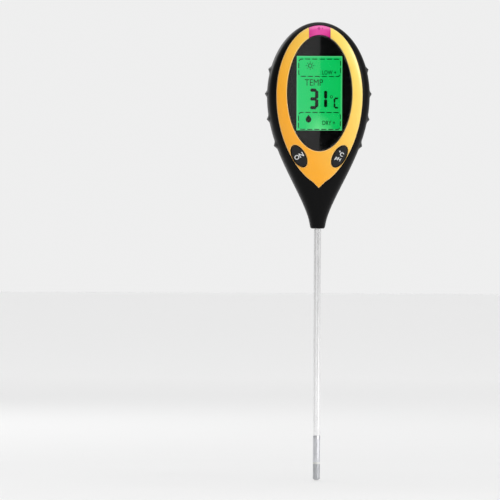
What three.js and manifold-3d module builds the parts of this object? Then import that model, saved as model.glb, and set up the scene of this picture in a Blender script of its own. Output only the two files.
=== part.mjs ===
// A hand-held soil meter: a teardrop head with a display and two keys, and a metal probe below it.
// Millimetres, +Z up. The origin is on the probe's axis, at the end face of the neck, so the probe
// hangs below Z = 0 and the head stands above it. The display faces -Y and the battery door +Y.
import * as THREE from "three";
import { mergeVertices } from "three/addons/utils/BufferGeometryUtils.js";
import Module from "manifold-3d";

const wasm = await Module();
wasm.setup();

// ---------------------------------------------------------------- driving sizes

// The head's outline, seen from the front: half an ellipse on top, a sweep into the neck below.
const HEAD_HALF_WIDTH = 29.6;
const WIDEST_Z = 77;
const CROWN_RISE = 42.5;
const NECK_RADIUS = 4.2;
const NECK_SWEEP = 0.77;

// The head's depth either side of the parting plane Y = 0, and how square its sections are.
const FRONT_DEPTH = 15.5;
const BACK_DEPTH = 18.6;
const BACK_FLAT_Y = 17;
const DEPTH_SWEEP = 2.4;
const FRONT_SQUARENESS = 5;
const BACK_SQUARENESS = 3.6;
const ROUND_SECTION = 2;

const WALL = 2.4;
const SEAM = 0.2; // open seam between the two case halves
const GAP = 0.3; // between pieces cut to the same curved surface
const SLIP = 0.1; // between flat or round faces that only rest on each other

// Grip nubs on the flanks.
const NUB_HEIGHTS = [92, 78, 63.4, 48.2];
const NUB_PROUD = 1.5;
const NUB_BASE = 2.5;
const NUB_HALF_DEPTH = 8;

// Front trim: the bezel ring, the light window in its gap, the lens inside it.
const RIM = 4.7; // case left bare beside the bezel
const CROWN_RIM = 2.1; // case left bare above it
const BEZEL_TIP_Z = 23.4;
const BEZEL_PROUD = 0.25;
const BEZEL_SINK = 1.0;
const WINDOW_HALF_WIDTH = 6.25;
const CROWN_BAND = 5.7; // bezel width above the lens
const LENS_HALF_WIDTH = 18.8;
const LENS_HALF_HEIGHT = 33.6;
const LENS_FACE_Y = -13.9;
const LENS_THICKNESS = 1.5;
const MASK_THICKNESS = 0.2;
const SEAT_THICKNESS = 1.4;
const SEAT_LIP = 1.6;

// Display stack.
const LCD_VIEW_WIDTH = 26.3;
const LCD_VIEW_HEIGHT = 42.9;
const LCD_BORDER = 0.55;
const LCD_THICKNESS = 2.0;
const CONTACT_STRIP = 2.0;
const TRAY_WALL = 1.5;

// Circuit board.
const BOARD_FRONT_Y = -5.3;
const BOARD_THICKNESS = 1.6;
const BOARD_INSET = 5.5;
const BOARD_FOOT_Z = 35;

// Keys: oval caps that lean towards the lens, over tact switches.
const KEY_X = 11.7;
const KEY_Z = 41.7;
const KEY_LEAN = THREE.MathUtils.degToRad(30);
const KEY_HALF_LENGTH = 6.6;
const KEY_HALF_WIDTH = 3.35;
const KEY_CLEARANCE = 0.5;
const KEY_FLANGE = 1.0;
const KEY_FLANGE_Y = -9.6;
const KEY_PROUD = 0.45;
const KEY_TRAVEL = 0.5;
const SWITCH_SIDE = 6;
const SWITCH_HEIGHT = 2.4;
const PLUNGER_RADIUS = 1.75;

// Nine volt battery, its snap and its bay.
const BATTERY_WIDTH = 26.5;
const BATTERY_THICKNESS = 16.8;
const BATTERY_LENGTH = 46.4;
const BATTERY_CORNER = 2;
const BATTERY_TOP_Z = 95.6;
const BATTERY_PITCH = 12.7; // between the two studs
const STUD_LENGTH = 1.9;
const BAY_CLEARANCE = 0.55;
const BAY_WALL = 1.2;
const BAY_LEDGE = 0.9;
const BAY_HEADROOM = 3.2; // above the battery, for the door tabs to swing
const LEAD_ROOM = 1.8; // below the snap, for its leads
const SNAP_THICKNESS = 3.2;
const SNAP_DEPTH = 12.4;
const DOOR_THICKNESS = 1.8;
const DOOR_CLEARANCE = 0.3;
const DOOR_CORNER = 2;
const TAB_LENGTH = 2.2; // door tabs, past its top edge
const TAB_THICKNESS = 1.2;
const TAB_NECK = 1.2;
const LATCH_DEPTH = 3;
const THUMB_RADIUS = 7; // the notch that a thumbnail opens the door by
const THUMB_DEPTH = 1.6;
const LATCH_HALF_WIDTH = 4.5;

// Screws.
const CASE_SCREW = { shaft: 1.4, head: 2.5, headHeight: 1.7, seatY: 6, tipY: -7.5 };
const BOARD_SCREW = { shaft: 1.0, head: 2.0, headHeight: 1.2, tipY: -10 };
const CASE_SCREW_FOOT_Z = 26;
const SCREW_INSET = 6.2; // case screws, in from the outline
const BOSS_WALL = 1.5;

// Probe.
const PROBE_RADIUS = 2.05;
const PROBE_WALL = 0.4;
const PROBE_TOP_Z = 19.5;
const TUBE_END_Z = -120;
const SLEEVE_LENGTH = 15.3;
const INSULATOR_LENGTH = 1.1;
const TIP_LENGTH = 9.1;
const TIP_ROUND = 1.1;
const CORE_RADIUS = 1.0; // bore of the sleeve and the tip
const COLLAR_Z = 12.5;
const COLLAR_LENGTH = 3;
const COLLAR_RADIUS = 3.4;
const SEAL_Z = 4;
const SEAL_SECTION = 0.42;
const NECK_CHAMFER = 1.0;
const LEAD_RADIUS = 0.4;

// ---------------------------------------------------------------- derived places

const BOARD_BACK_Y = BOARD_FRONT_Y + BOARD_THICKNESS;
const BEZEL_HALF_WIDTH = HEAD_HALF_WIDTH - RIM;
const BEZEL_RISE = CROWN_RISE - CROWN_RIM;
const BEZEL_TOP_Z = WIDEST_Z + BEZEL_RISE;
const LENS_Z = BEZEL_TOP_Z - CROWN_BAND - LENS_HALF_HEIGHT;
const LENS_BACK_Y = LENS_FACE_Y + LENS_THICKNESS;
const MASK_FRONT_Y = LENS_BACK_Y + SLIP / 2;
const SEAT_Y = MASK_FRONT_Y + MASK_THICKNESS + SLIP / 2;
const SEAT_BACK_Y = SEAT_Y + SEAT_THICKNESS;
const LCD_HALF_WIDTH = LCD_VIEW_WIDTH / 2 + LCD_BORDER;
const LCD_HALF_HEIGHT = LCD_VIEW_HEIGHT / 2 + LCD_BORDER;
const LCD_BACK_Y = SEAT_Y + LCD_THICKNESS;
const BAY_HALF_WIDTH = BATTERY_WIDTH / 2 + BAY_CLEARANCE;
const DOOR_BACK_Y = BACK_FLAT_Y - DOOR_THICKNESS; // inner face of the door
const BATTERY_BACK_Y = DOOR_BACK_Y - 0.4;
const BATTERY_FRONT_Y = BATTERY_BACK_Y - BATTERY_THICKNESS;
const BAY_FLOOR_Y = BATTERY_FRONT_Y - 0.2;
const BATTERY_FOOT_Z = BATTERY_TOP_Z - BATTERY_LENGTH;
const SNAP_TOP_Z = BATTERY_FOOT_Z - 1.2;
const SNAP_FOOT_Z = SNAP_TOP_Z - SNAP_THICKNESS;
const BAY_TOP_Z = BATTERY_TOP_Z + BAY_HEADROOM;
const BAY_FOOT_Z = SNAP_FOOT_Z - LEAD_ROOM;
const DOOR_HALF_WIDTH = BAY_HALF_WIDTH + BAY_LEDGE;
const DOOR_TOP_Z = BAY_TOP_Z + BAY_LEDGE - DOOR_CLEARANCE;
const DOOR_FOOT_Z = BAY_FOOT_Z - BAY_LEDGE + DOOR_CLEARANCE;
const SLEEVE_END_Z = TUBE_END_Z - SLEEVE_LENGTH;
const INSULATOR_END_Z = SLEEVE_END_Z - INSULATOR_LENGTH;
const TIP_END_Z = INSULATOR_END_Z - TIP_LENGTH;
const TAB_BACK_Y = BACK_FLAT_Y - WALL - GAP; // the tabs lie under the case wall
const CAVITY_FOOT_Z = COLLAR_Z + COLLAR_LENGTH + 1.8;

// ---------------------------------------------------------------- solids

// A closed three.js geometry as a solid that can be joined and cut.
function solid(geometry) {
  const bare = geometry.clone();
  for (const name of Object.keys(bare.attributes)) {
    if (name !== "position") bare.deleteAttribute(name);
  }
  const merged = mergeVertices(bare, 1e-4);
  const corners = merged.index.array;
  const kept = [];
  for (let i = 0; i < corners.length; i += 3) {
    const [a, b, c] = corners.slice(i, i + 3);
    if (a !== b && b !== c && c !== a) kept.push(a, b, c);
  }
  const vertProperties = merged.attributes.position.array;
  return new wasm.Manifold(new wasm.Mesh({ numProp: 3, vertProperties, triVerts: new Uint32Array(kept) }));
}

function geometryOf(body) {
  const { vertProperties, triVerts } = body.getMesh();
  const geometry = new THREE.BufferGeometry();
  geometry.setAttribute("position", new THREE.BufferAttribute(new Float32Array(vertProperties), 3));
  geometry.setIndex(new THREE.BufferAttribute(new Uint32Array(triVerts), 1));
  geometry.computeVertexNormals();
  return geometry;
}

function block(x, y, z) {
  const size = [x, y, z].map(([from, to]) => to - from);
  const middle = [x, y, z].map(([from, to]) => (from + to) / 2);
  return solid(new THREE.BoxGeometry(...size).translate(...middle));
}

function rodY(radius, [yFrom, yTo], x, z, sides = 14) {
  const rod = new THREE.CylinderGeometry(radius, radius, yTo - yFrom, sides);
  return solid(rod.translate(x, (yFrom + yTo) / 2, z));
}

// A shape drawn in X and Z, pushed through along Y.
function prism(shape, [yFrom, yTo], curveSegments = 15) {
  const pushed = new THREE.ExtrudeGeometry(shape, { depth: yTo - yFrom, bevelEnabled: false, curveSegments });
  return solid(pushed.rotateX(Math.PI / 2).translate(0, yTo, 0));
}

// A profile of [radius, z] points, turned about the probe's axis.
function turned(profile, sides = 24) {
  const points = profile.map(([radius, z]) => new THREE.Vector2(radius, z));
  return solid(new THREE.LatheGeometry(points, sides).rotateX(Math.PI / 2));
}

function ring(outer, inner, [zFrom, zTo], sides = 24) {
  const corners = [[inner, zFrom], [outer, zFrom], [outer, zTo], [inner, zTo], [inner, zFrom]];
  return turned(corners, sides);
}

function rod(radius, [zFrom, zTo], sides = 24) {
  return turned([[0, zFrom], [radius, zFrom], [radius, zTo], [0, zTo]], sides);
}

// A round wire through a list of points.
function wire(points, radius, steps) {
  const route = new THREE.CatmullRomCurve3(points.map((p) => new THREE.Vector3(...p)));
  const section = new THREE.Shape().absarc(0, 0, radius, 0, 2 * Math.PI);
  return solid(new THREE.ExtrudeGeometry(section, { steps, extrudePath: route, curveSegments: 3 }));
}

const join = (bodies) => bodies.reduce((a, b) => a.add(b));
const cut = (body, tools) => tools.reduce((a, b) => a.subtract(b), body);
const bothSides = (make) => [1, -1].map(make);

// ---------------------------------------------------------------- the head's form

// Half-width of the outline at height z, with every surface moved out by grow.
function halfWidthAt(z, grow = 0) {
  const neck = NECK_RADIUS + grow;
  if (z >= WIDEST_Z) {
    const share = Math.min(1, (z - WIDEST_Z) / (CROWN_RISE + grow));
    return (HEAD_HALF_WIDTH + grow) * Math.sqrt(1 - share * share);
  }
  const flare = Math.sin((Math.PI / 2) * (Math.max(0, z) / WIDEST_Z) ** NECK_SWEEP) ** 2;
  return neck + (HEAD_HALF_WIDTH - NECK_RADIUS) * flare;
}

// Depth on the centre line at height z, for a side whose full depth is given.
function depthAt(z, fullDepth, grow) {
  const swell = 1 - (1 - Math.min(z, WIDEST_Z) / WIDEST_Z) ** DEPTH_SWEEP;
  return NECK_RADIUS + grow + (fullDepth - NECK_RADIUS) * swell;
}

function squarenessAt(z, full) {
  const share = Math.min(z, WIDEST_Z) / WIDEST_Z;
  return ROUND_SECTION + (full - ROUND_SECTION) * share;
}

// The whole head as one solid, with every surface moved out by grow: a front and a back sheet that
// meet in the outline on the parting plane, closed by a flat end at the neck.
function headSolid(grow, sideSteps = 12, crownSteps = 20, levels = 6) {
  const stations = [];
  for (let k = 0; k <= sideSteps; k++) stations.push({ z: (WIDEST_Z * k) / sideSteps, side: 1 });
  for (let k = 1; k < crownSteps; k++) stations.push({ z: WIDEST_Z, angle: (Math.PI * k) / crownSteps });
  for (let k = sideSteps; k >= 0; k--) stations.push({ z: (WIDEST_Z * k) / sideSteps, side: -1 });

  const points = [];
  const indexOf = (sheet, j, i) => (sheet * stations.length + j) * (levels + 1) + i;
  for (const [sheet, fullDepth, fullSquareness] of [
    [-1, FRONT_DEPTH, FRONT_SQUARENESS],
    [1, BACK_DEPTH, BACK_SQUARENESS],
  ]) {
    for (const { z, side, angle } of stations) {
      const power = 2 / squarenessAt(z, fullSquareness);
      const depth = depthAt(z, fullDepth, grow);
      for (let i = 0; i <= levels; i++) {
        const phase = (Math.PI / 2) * (i / levels);
        const out = i === levels ? 1 : Math.sin(phase) ** power;
        const y = i === levels ? 0 : sheet * depth * Math.cos(phase) ** power;
        if (side) points.push(side * out * halfWidthAt(z, grow), y, z);
        else {
          const x = out * (HEAD_HALF_WIDTH + grow) * Math.cos(angle);
          points.push(x, y, WIDEST_Z + out * (CROWN_RISE + grow) * Math.sin(angle));
        }
      }
    }
  }
  const endCentre = points.length / 3;
  points.push(0, 0, 0);

  const faces = [];
  const face = (sheet, a, b, c) => faces.push(...(sheet ? [a, c, b] : [a, b, c]));
  const last = stations.length - 1;
  for (const sheet of [0, 1]) {
    for (let i = 0; i < levels; i++) {
      for (let j = 0; j < last; j++) {
        const corner = indexOf(sheet, j, i);
        const across = indexOf(sheet, j + 1, i + 1);
        face(sheet, corner, indexOf(sheet, j, i + 1), across);
        face(sheet, corner, across, indexOf(sheet, j + 1, i));
      }
      face(sheet, endCentre, indexOf(sheet, 0, i + 1), indexOf(sheet, 0, i));
      face(sheet, endCentre, indexOf(sheet, last, i), indexOf(sheet, last, i + 1));
    }
  }
  const geometry = new THREE.BufferGeometry();
  geometry.setAttribute("position", new THREE.BufferAttribute(new Float32Array(points), 3));
  geometry.setIndex(faces);
  return solid(geometry);
}

const FAR = 4 * (HEAD_HALF_WIDTH + CROWN_RISE + WIDEST_Z);
const everywhere = [-FAR, FAR];
const frontHalf = block(everywhere, [-FAR, -SEAM / 2], everywhere);
const rearHalf = block(everywhere, [SEAM / 2, FAR], everywhere);
const pastBack = (y) => block(everywhere, [y, FAR], everywhere);

const form = headSolid(0).subtract(pastBack(BACK_FLAT_Y));
const cavity = headSolid(-WALL, 8, 12, 4)
  .subtract(pastBack(BACK_FLAT_Y - WALL))
  .subtract(block(everywhere, everywhere, [-FAR, CAVITY_FOOT_Z]));

// A low four-sided pyramid on each flank, lying across the seam.
function gripNub(z, side) {
  const reach = NUB_PROUD + WALL / 2;
  const pyramid = new THREE.CylinderGeometry(0.3, NUB_BASE * Math.SQRT2 * 1.3, reach, 4, 1);
  pyramid.rotateY(Math.PI / 4).rotateZ((-side * Math.PI) / 2);
  pyramid.scale(1, 1, NUB_HALF_DEPTH / NUB_BASE / 1.3).rotateX(Math.PI / 2);
  const x = side * (halfWidthAt(z) + NUB_PROUD - reach / 2);
  return solid(pyramid.translate(x, 0, z));
}
const nubs = NUB_HEIGHTS.flatMap((z) => bothSides((side) => gripNub(z, side)));

// The bezel's outline: half an ellipse, a pointed sweep, and a small arrow tip with shoulders.
function bezelShape(inset) {
  const half = BEZEL_HALF_WIDTH - inset;
  const foot = BEZEL_TIP_Z + inset;
  const sweepFoot = foot + 2.1;
  const shoulder = [0.156 * half, foot + 3.8];
  const outline = new THREE.Shape();
  outline.absellipse(0, WIDEST_Z, half, BEZEL_RISE - inset, 0, Math.PI);
  const sweep = [];
  for (let k = 1; k <= 12; k++) {
    const fall = 0.945 * (k / 12);
    sweep.push([half * (1 - fall * fall) ** (2 / 3), WIDEST_Z - fall * (WIDEST_Z - sweepFoot)]);
  }
  const right = [...sweep, shoulder];
  for (const [x, z] of right) outline.lineTo(-x, z);
  outline.lineTo(0, foot);
  for (const [x, z] of right.reverse()) outline.lineTo(x, z);
  return outline;
}

// A rectangle with round corners, from its edges.
function roundedRectangle([left, right], [foot, top], radius) {
  const outline = new THREE.Shape();
  outline.moveTo(right, foot + radius);
  outline.lineTo(right, top - radius).absarc(right - radius, top - radius, radius, 0, Math.PI / 2);
  outline.lineTo(left + radius, top).absarc(left + radius, top - radius, radius, Math.PI / 2, Math.PI);
  outline.lineTo(left, foot + radius).absarc(left + radius, foot + radius, radius, Math.PI, 1.5 * Math.PI);
  outline.lineTo(right - radius, foot);
  outline.absarc(right - radius, foot + radius, radius, 1.5 * Math.PI, 2 * Math.PI);
  return outline;
}

function ovalShape(x, z, halfWidth, halfHeight, lean = 0) {
  return new THREE.Shape().absellipse(x, z, halfWidth, halfHeight, 0, 2 * Math.PI, false, lean);
}
const lensShape = (grow) => ovalShape(0, LENS_Z, LENS_HALF_WIDTH + grow, LENS_HALF_HEIGHT + grow);
const keyShape = (side, grow) =>
  ovalShape(side * KEY_X, KEY_Z, KEY_HALF_WIDTH + grow, KEY_HALF_LENGTH + grow, -side * KEY_LEAN);

const ahead = [-FAR, 0];
const SENSOR_Z = WIDEST_Z + CROWN_RISE - BOARD_INSET - 1.8; // photodiode, at the top of the board
const bezelSkin = headSolid(BEZEL_PROUD).subtract(headSolid(-BEZEL_SINK));
const recess = prism(bezelShape(-SLIP), ahead).subtract(headSolid(-BEZEL_SINK - GAP));
const keyHoles = bothSides((side) => prism(keyShape(side, KEY_CLEARANCE), ahead));

// ---------------------------------------------------------------- places of the screws

const caseScrewPlaces = [
  ...bothSides((side) => [side * (halfWidthAt(98) - SCREW_INSET), 98]),
  ...bothSides((side) => [side * (halfWidthAt(54) - SCREW_INSET), 54]),
  [0, CASE_SCREW_FOOT_Z],
];
const boardScrewX = BAY_HALF_WIDTH + BAY_WALL + BOARD_SCREW.head + 1.6;
const boardScrewPlaces = [88, 64].flatMap((z) => bothSides((side) => [side * boardScrewX, z]));

// ---------------------------------------------------------------- the case halves

function probePassage() {
  const bore = PROBE_RADIUS + 0.2;
  return [
    rod(bore, [-1, CAVITY_FOOT_Z + 1]),
    rod(COLLAR_RADIUS + 0.2, [COLLAR_Z - 0.2, COLLAR_Z + COLLAR_LENGTH + 0.2]),
    rod(PROBE_RADIUS + 2 * SEAL_SECTION + 0.2, [SEAL_Z - 0.8, SEAL_Z + 0.8]),
    turned([
      [NECK_RADIUS - NECK_CHAMFER, -0.01],
      [NECK_RADIUS + 2, -0.01],
      [NECK_RADIUS + 2, NECK_CHAMFER + 2],
      [NECK_RADIUS - NECK_CHAMFER, -0.01],
    ]),
  ];
}

function frontCase() {
  const underTrim = headSolid(-BEZEL_SINK - GAP);
  const seat = prism(lensShape(SEAT_LIP), [LENS_FACE_Y - 1, SEAT_BACK_Y]).intersect(underTrim);
  const caseBosses = caseScrewPlaces.map(([x, z]) =>
    rodY(CASE_SCREW.shaft + BOSS_WALL, [-FRONT_DEPTH, -SEAM / 2], x, z),
  );
  const boardBosses = boardScrewPlaces.map(([x, z]) =>
    rodY(BOARD_SCREW.shaft + BOSS_WALL, [-FRONT_DEPTH, BOARD_FRONT_Y - SLIP / 2], x, z),
  );
  const inside = underTrim.intersect(join([...caseBosses, ...boardBosses]));
  const holes = [
    ...caseScrewPlaces.map(([x, z]) => rodY(CASE_SCREW.shaft + SLIP, [CASE_SCREW.tipY - 0.6, 1], x, z)),
    ...boardScrewPlaces.map(([x, z]) => rodY(BOARD_SCREW.shaft + SLIP, [BOARD_SCREW.tipY - 0.6, 1], x, z)),
  ];
  const lensRecess = prism(lensShape(SLIP), [-FAR, SEAT_Y]);
  const displayHole = block(
    [-LCD_HALF_WIDTH - 0.25, LCD_HALF_WIDTH + 0.25],
    [-FAR, -2],
    [LENS_Z - LCD_HALF_HEIGHT - 0.25, LENS_Z + LCD_HALF_HEIGHT + 0.25],
  );
  const lightHole = block([-4, 4], [-FAR, -6], [SENSOR_Z - 2, SENSOR_Z + 2]);
  const shell = join([form, ...nubs]).subtract(cavity).add(seat).add(inside).intersect(frontHalf);
  return cut(shell, [recess, lensRecess, displayHole, lightHole, ...keyHoles, ...holes, ...probePassage()]);
}

const doorTabs = bothSides((side) => [side * 8 - 2, side * 8 + 2]);

function doorShape(grow) {
  const half = DOOR_HALF_WIDTH - DOOR_CLEARANCE + grow;
  return roundedRectangle([-half, half], [DOOR_FOOT_Z - grow, DOOR_TOP_Z + grow], DOOR_CORNER);
}

function rearCase() {
  const [w, t] = [BAY_HALF_WIDTH, BAY_WALL];
  const tub = block([-w - t, w + t], [BAY_FLOOR_Y - t, BACK_FLAT_Y], [BAY_FOOT_Z - t, BAY_TOP_Z + t]);
  const wells = caseScrewPlaces.map(([x, z]) => rodY(CASE_SCREW.head + 1.2, [SEAM / 2, BACK_FLAT_Y], x, z));
  const inside = headSolid(-WALL / 2).subtract(pastBack(BACK_FLAT_Y - WALL / 2));
  const shell = join([form, ...nubs]).subtract(cavity).intersect(rearHalf);
  const body = join([shell, join([tub, ...wells]).intersect(inside)]);
  const latchPocket = block(
    [-LATCH_HALF_WIDTH - 0.5, LATCH_HALF_WIDTH + 0.5],
    [DOOR_BACK_Y - LATCH_DEPTH - 0.6, DOOR_BACK_Y],
    [DOOR_FOOT_Z - 0.5, BAY_FOOT_Z + 1],
  );
  const thumb = new THREE.SphereGeometry(THUMB_RADIUS, 20, 12);
  thumb.translate(0, BACK_FLAT_Y + THUMB_RADIUS - THUMB_DEPTH, DOOR_FOOT_Z - 1);
  const tools = [
    block([-w, w], [BAY_FLOOR_Y, FAR], [BAY_FOOT_Z, BAY_TOP_Z]),
    prism(doorShape(DOOR_CLEARANCE), [DOOR_BACK_Y - SLIP, FAR], 6),
    ...doorTabs.map(([from, to]) =>
      block([from - 0.4, to + 0.4], [TAB_BACK_Y - 3.5, DOOR_BACK_Y], [BAY_TOP_Z - 1, BAY_TOP_Z + t + 1]),
    ),
    latchPocket,
    solid(thumb),
    block([-4, 4], [BAY_FLOOR_Y, BAY_FLOOR_Y + 3.2], [BAY_FOOT_Z - t - 1, BAY_FOOT_Z + 1]),
    ...caseScrewPlaces.map(([x, z]) => rodY(CASE_SCREW.shaft + 0.3, [-1, FAR], x, z)),
    ...caseScrewPlaces.map(([x, z]) => rodY(CASE_SCREW.head + 0.35, [CASE_SCREW.seatY, FAR], x, z)),
    ...probePassage(),
  ];
  return cut(body, tools);
}

// The door swings about its top edge on two tabs, and a tongue at its foot snaps under the rim.
function batteryDoor() {
  const plate = prism(doorShape(0), [DOOR_BACK_Y, FAR], 6).intersect(form);
  const [tabFront, neckFoot] = [TAB_BACK_Y - TAB_THICKNESS, DOOR_TOP_Z - TAB_NECK];
  const tabs = doorTabs.flatMap((x) => [
    block(x, [tabFront, TAB_BACK_Y], [neckFoot, DOOR_TOP_Z + TAB_LENGTH]),
    block(x, [tabFront, DOOR_BACK_Y + 0.4], [neckFoot, DOOR_TOP_Z - 0.1]),
  ]);
  const tongue = block(
    [-LATCH_HALF_WIDTH, LATCH_HALF_WIDTH],
    [DOOR_BACK_Y - LATCH_DEPTH, DOOR_BACK_Y + 0.4],
    [DOOR_FOOT_Z + 0.3, DOOR_FOOT_Z + 1.4],
  );
  return join([plate, ...tabs, tongue]);
}

// ---------------------------------------------------------------- front trim

function bezel() {
  const ringBody = prism(bezelShape(0), ahead).intersect(bezelSkin);
  const windowGap = block([-WINDOW_HALF_WIDTH, WINDOW_HALF_WIDTH], everywhere, [LENS_Z, FAR]);
  const lensHole = prism(lensShape(0.2), ahead);
  return cut(ringBody, [windowGap, lensHole, ...keyHoles]);
}

function lightWindow() {
  const half = WINDOW_HALF_WIDTH - SLIP;
  const strip = block([-half, half], ahead, [LENS_Z, FAR]).intersect(prism(bezelShape(SLIP), ahead));
  return strip.intersect(bezelSkin).subtract(prism(lensShape(0.2), ahead));
}

const displayLens = () => prism(lensShape(-0.1), [LENS_FACE_Y, LENS_BACK_Y]);

function displayMask() {
  const view = block(
    [-LCD_VIEW_WIDTH / 2, LCD_VIEW_WIDTH / 2],
    everywhere,
    [LENS_Z - LCD_VIEW_HEIGHT / 2, LENS_Z + LCD_VIEW_HEIGHT / 2],
  );
  return prism(lensShape(-0.3), [MASK_FRONT_Y, MASK_FRONT_Y + MASK_THICKNESS]).subtract(view);
}

// ---------------------------------------------------------------- display stack

const lcdBlock = (halfWidth, y, halfHeight) =>
  block([-halfWidth, halfWidth], y, [LENS_Z - halfHeight, LENS_Z + halfHeight]);

const lcdPanel = () => lcdBlock(LCD_HALF_WIDTH, [SEAT_Y + SLIP / 2, LCD_BACK_Y], LCD_HALF_HEIGHT);

const guideHalfHeight = LCD_HALF_HEIGHT - CONTACT_STRIP - 0.6;
const GUIDE_THICKNESS = 2.6;
const backlightGuide = () =>
  lcdBlock(LCD_HALF_WIDTH - 0.1, [LCD_BACK_Y + SLIP, LCD_BACK_Y + GUIDE_THICKNESS], guideHalfHeight);

function lcdTray() {
  const y = [SEAT_BACK_Y + SLIP, BOARD_FRONT_Y - SLIP];
  const outer = lcdBlock(LCD_HALF_WIDTH + TRAY_WALL, y, LCD_HALF_HEIGHT + TRAY_WALL);
  return outer.subtract(lcdBlock(LCD_HALF_WIDTH + SLIP, everywhere, LCD_HALF_HEIGHT + SLIP));
}

function contactStrip(end) {
  const middle = LENS_Z + end * (LCD_HALF_HEIGHT - CONTACT_STRIP / 2);
  return block(
    [-LCD_HALF_WIDTH + 1.5, LCD_HALF_WIDTH - 1.5],
    [LCD_BACK_Y + SLIP, BOARD_FRONT_Y - SLIP],
    [middle - CONTACT_STRIP / 2, middle + CONTACT_STRIP / 2],
  );
}

const backlightLed = () =>
  block([-2.5, 2.5], [LCD_BACK_Y + GUIDE_THICKNESS + SLIP, BOARD_FRONT_Y - SLIP], [LENS_Z - 2, LENS_Z + 2]);

// ---------------------------------------------------------------- board and what is on it

function mainBoard() {
  const outline = new THREE.Shape();
  outline.absellipse(0, WIDEST_Z, HEAD_HALF_WIDTH - BOARD_INSET, CROWN_RISE - BOARD_INSET, 0, Math.PI);
  const side = [];
  for (let k = 1; k <= 8; k++) {
    const z = WIDEST_Z - ((WIDEST_Z - BOARD_FOOT_Z) * k) / 8;
    side.push([halfWidthAt(z) - BOARD_INSET, z]);
  }
  for (const [x, z] of side) outline.lineTo(-x, z);
  for (const [x, z] of side.reverse()) outline.lineTo(x, z);
  const plate = prism(outline, [BOARD_FRONT_Y, BOARD_BACK_Y], 24);
  return cut(plate, [
    ...caseScrewPlaces.map(([x, z]) => rodY(CASE_SCREW.shaft + BOSS_WALL + 0.4, everywhere, x, z)),
    ...boardScrewPlaces.map(([x, z]) => rodY(BOARD_SCREW.shaft + 0.2, everywhere, x, z)),
  ]);
}

// A drop of black resin over the chip, on the back of the board below the bay.
const underBay = (radius) => BAY_FOOT_Z - BAY_WALL - GAP - radius;
function processor() {
  const radius = 3;
  const dome = new THREE.SphereGeometry(radius, 16, 8).scale(1, 0.5, 1);
  dome.translate(7, BOARD_BACK_Y + SLIP, underBay(radius));
  return solid(dome).intersect(block(everywhere, [BOARD_BACK_Y + SLIP, FAR], everywhere));
}

const capacitor = () => rodY(2, [BOARD_BACK_Y + SLIP, BOARD_BACK_Y + 5.1], -8, underBay(2));

// A photodiode behind the light window.
function lightSensor() {
  const [radius, tip] = [1.5, BOARD_FRONT_Y - 4];
  const dome = new THREE.SphereGeometry(radius, 12, 8).rotateX(Math.PI).translate(0, tip, SENSOR_Z);
  return rodY(radius, [tip, BOARD_FRONT_Y - SLIP], 0, SENSOR_Z, 12).add(solid(dome));
}

const switchTopY = BOARD_FRONT_Y - SLIP - SWITCH_HEIGHT;
function tactSwitch(side) {
  const [x, half] = [side * KEY_X, SWITCH_SIDE / 2];
  const base = block([x - half, x + half], [switchTopY, BOARD_FRONT_Y - SLIP], [KEY_Z - half, KEY_Z + half]);
  const well = rodY(PLUNGER_RADIUS + 0.2, [switchTopY - 1, switchTopY + 1.2 + KEY_TRAVEL], x, KEY_Z);
  return base.subtract(well);
}

const switchPlunger = (side) =>
  rodY(PLUNGER_RADIUS, [KEY_FLANGE_Y + 1 + SLIP, switchTopY + 1.1], side * KEY_X, KEY_Z, 20);

// A key: an oval cap whose top follows the head's form, on a wider flange that stops it falling out.
function keyCap(side) {
  const flangeFoot = KEY_FLANGE_Y + 1;
  const cap = prism(keyShape(side, 0), [-FAR, flangeFoot]).intersect(headSolid(KEY_PROUD));
  const flange = prism(keyShape(side, KEY_CLEARANCE + KEY_FLANGE), [KEY_FLANGE_Y, flangeFoot]);
  return cap.add(flange.intersect(headSolid(-WALL - GAP)));
}

// ---------------------------------------------------------------- screws

function crossHeadScrew({ shaft, head, headHeight, tipY }, seatY, x, z) {
  const headDisc = rodY(head, [seatY, seatY + headHeight], x, z, 20);
  const body = headDisc.add(rodY(shaft, [tipY, seatY + headHeight / 2], x, z));
  const slot = head * 0.62;
  const depth = [seatY + headHeight * 0.45, FAR];
  const cross = [
    block([x - slot, x + slot], depth, [z - 0.25, z + 0.25]),
    block([x - 0.25, x + 0.25], depth, [z - slot, z + slot]),
  ];
  return cut(body, cross);
}

// ---------------------------------------------------------------- battery

const batteryMiddleY = (BATTERY_FRONT_Y + BATTERY_BACK_Y) / 2;

function batteryCan() {
  const [half, deep] = [BATTERY_WIDTH / 2, BATTERY_THICKNESS / 2];
  const section = roundedRectangle([-half, half], [-deep, deep], BATTERY_CORNER);
  const options = { depth: BATTERY_LENGTH, bevelEnabled: false, curveSegments: 4 };
  return solid(new THREE.ExtrudeGeometry(section, options).translate(0, batteryMiddleY, BATTERY_FOOT_Z));
}

function studAt(side, radius, [zFrom, zTo]) {
  return rod(radius, [zFrom, zTo], 20).translate([(side * BATTERY_PITCH) / 2, batteryMiddleY, 0]);
}
const studSpan = [BATTERY_FOOT_Z - STUD_LENGTH, BATTERY_FOOT_Z - SLIP];
const POSITIVE_STUD = 2.9;
const NEGATIVE_STUD = 3.9;

function batterySnap() {
  const pad = block(
    [-BATTERY_WIDTH / 2 + 0.5, BATTERY_WIDTH / 2 - 0.5],
    [batteryMiddleY - SNAP_DEPTH / 2, batteryMiddleY + SNAP_DEPTH / 2],
    [SNAP_FOOT_Z, SNAP_TOP_Z],
  );
  const deep = [BATTERY_FOOT_Z - STUD_LENGTH - 0.2, BATTERY_FOOT_Z];
  return cut(pad, [studAt(1, POSITIVE_STUD + 0.2, deep), studAt(-1, NEGATIVE_STUD + 0.2, deep)]);
}

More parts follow.
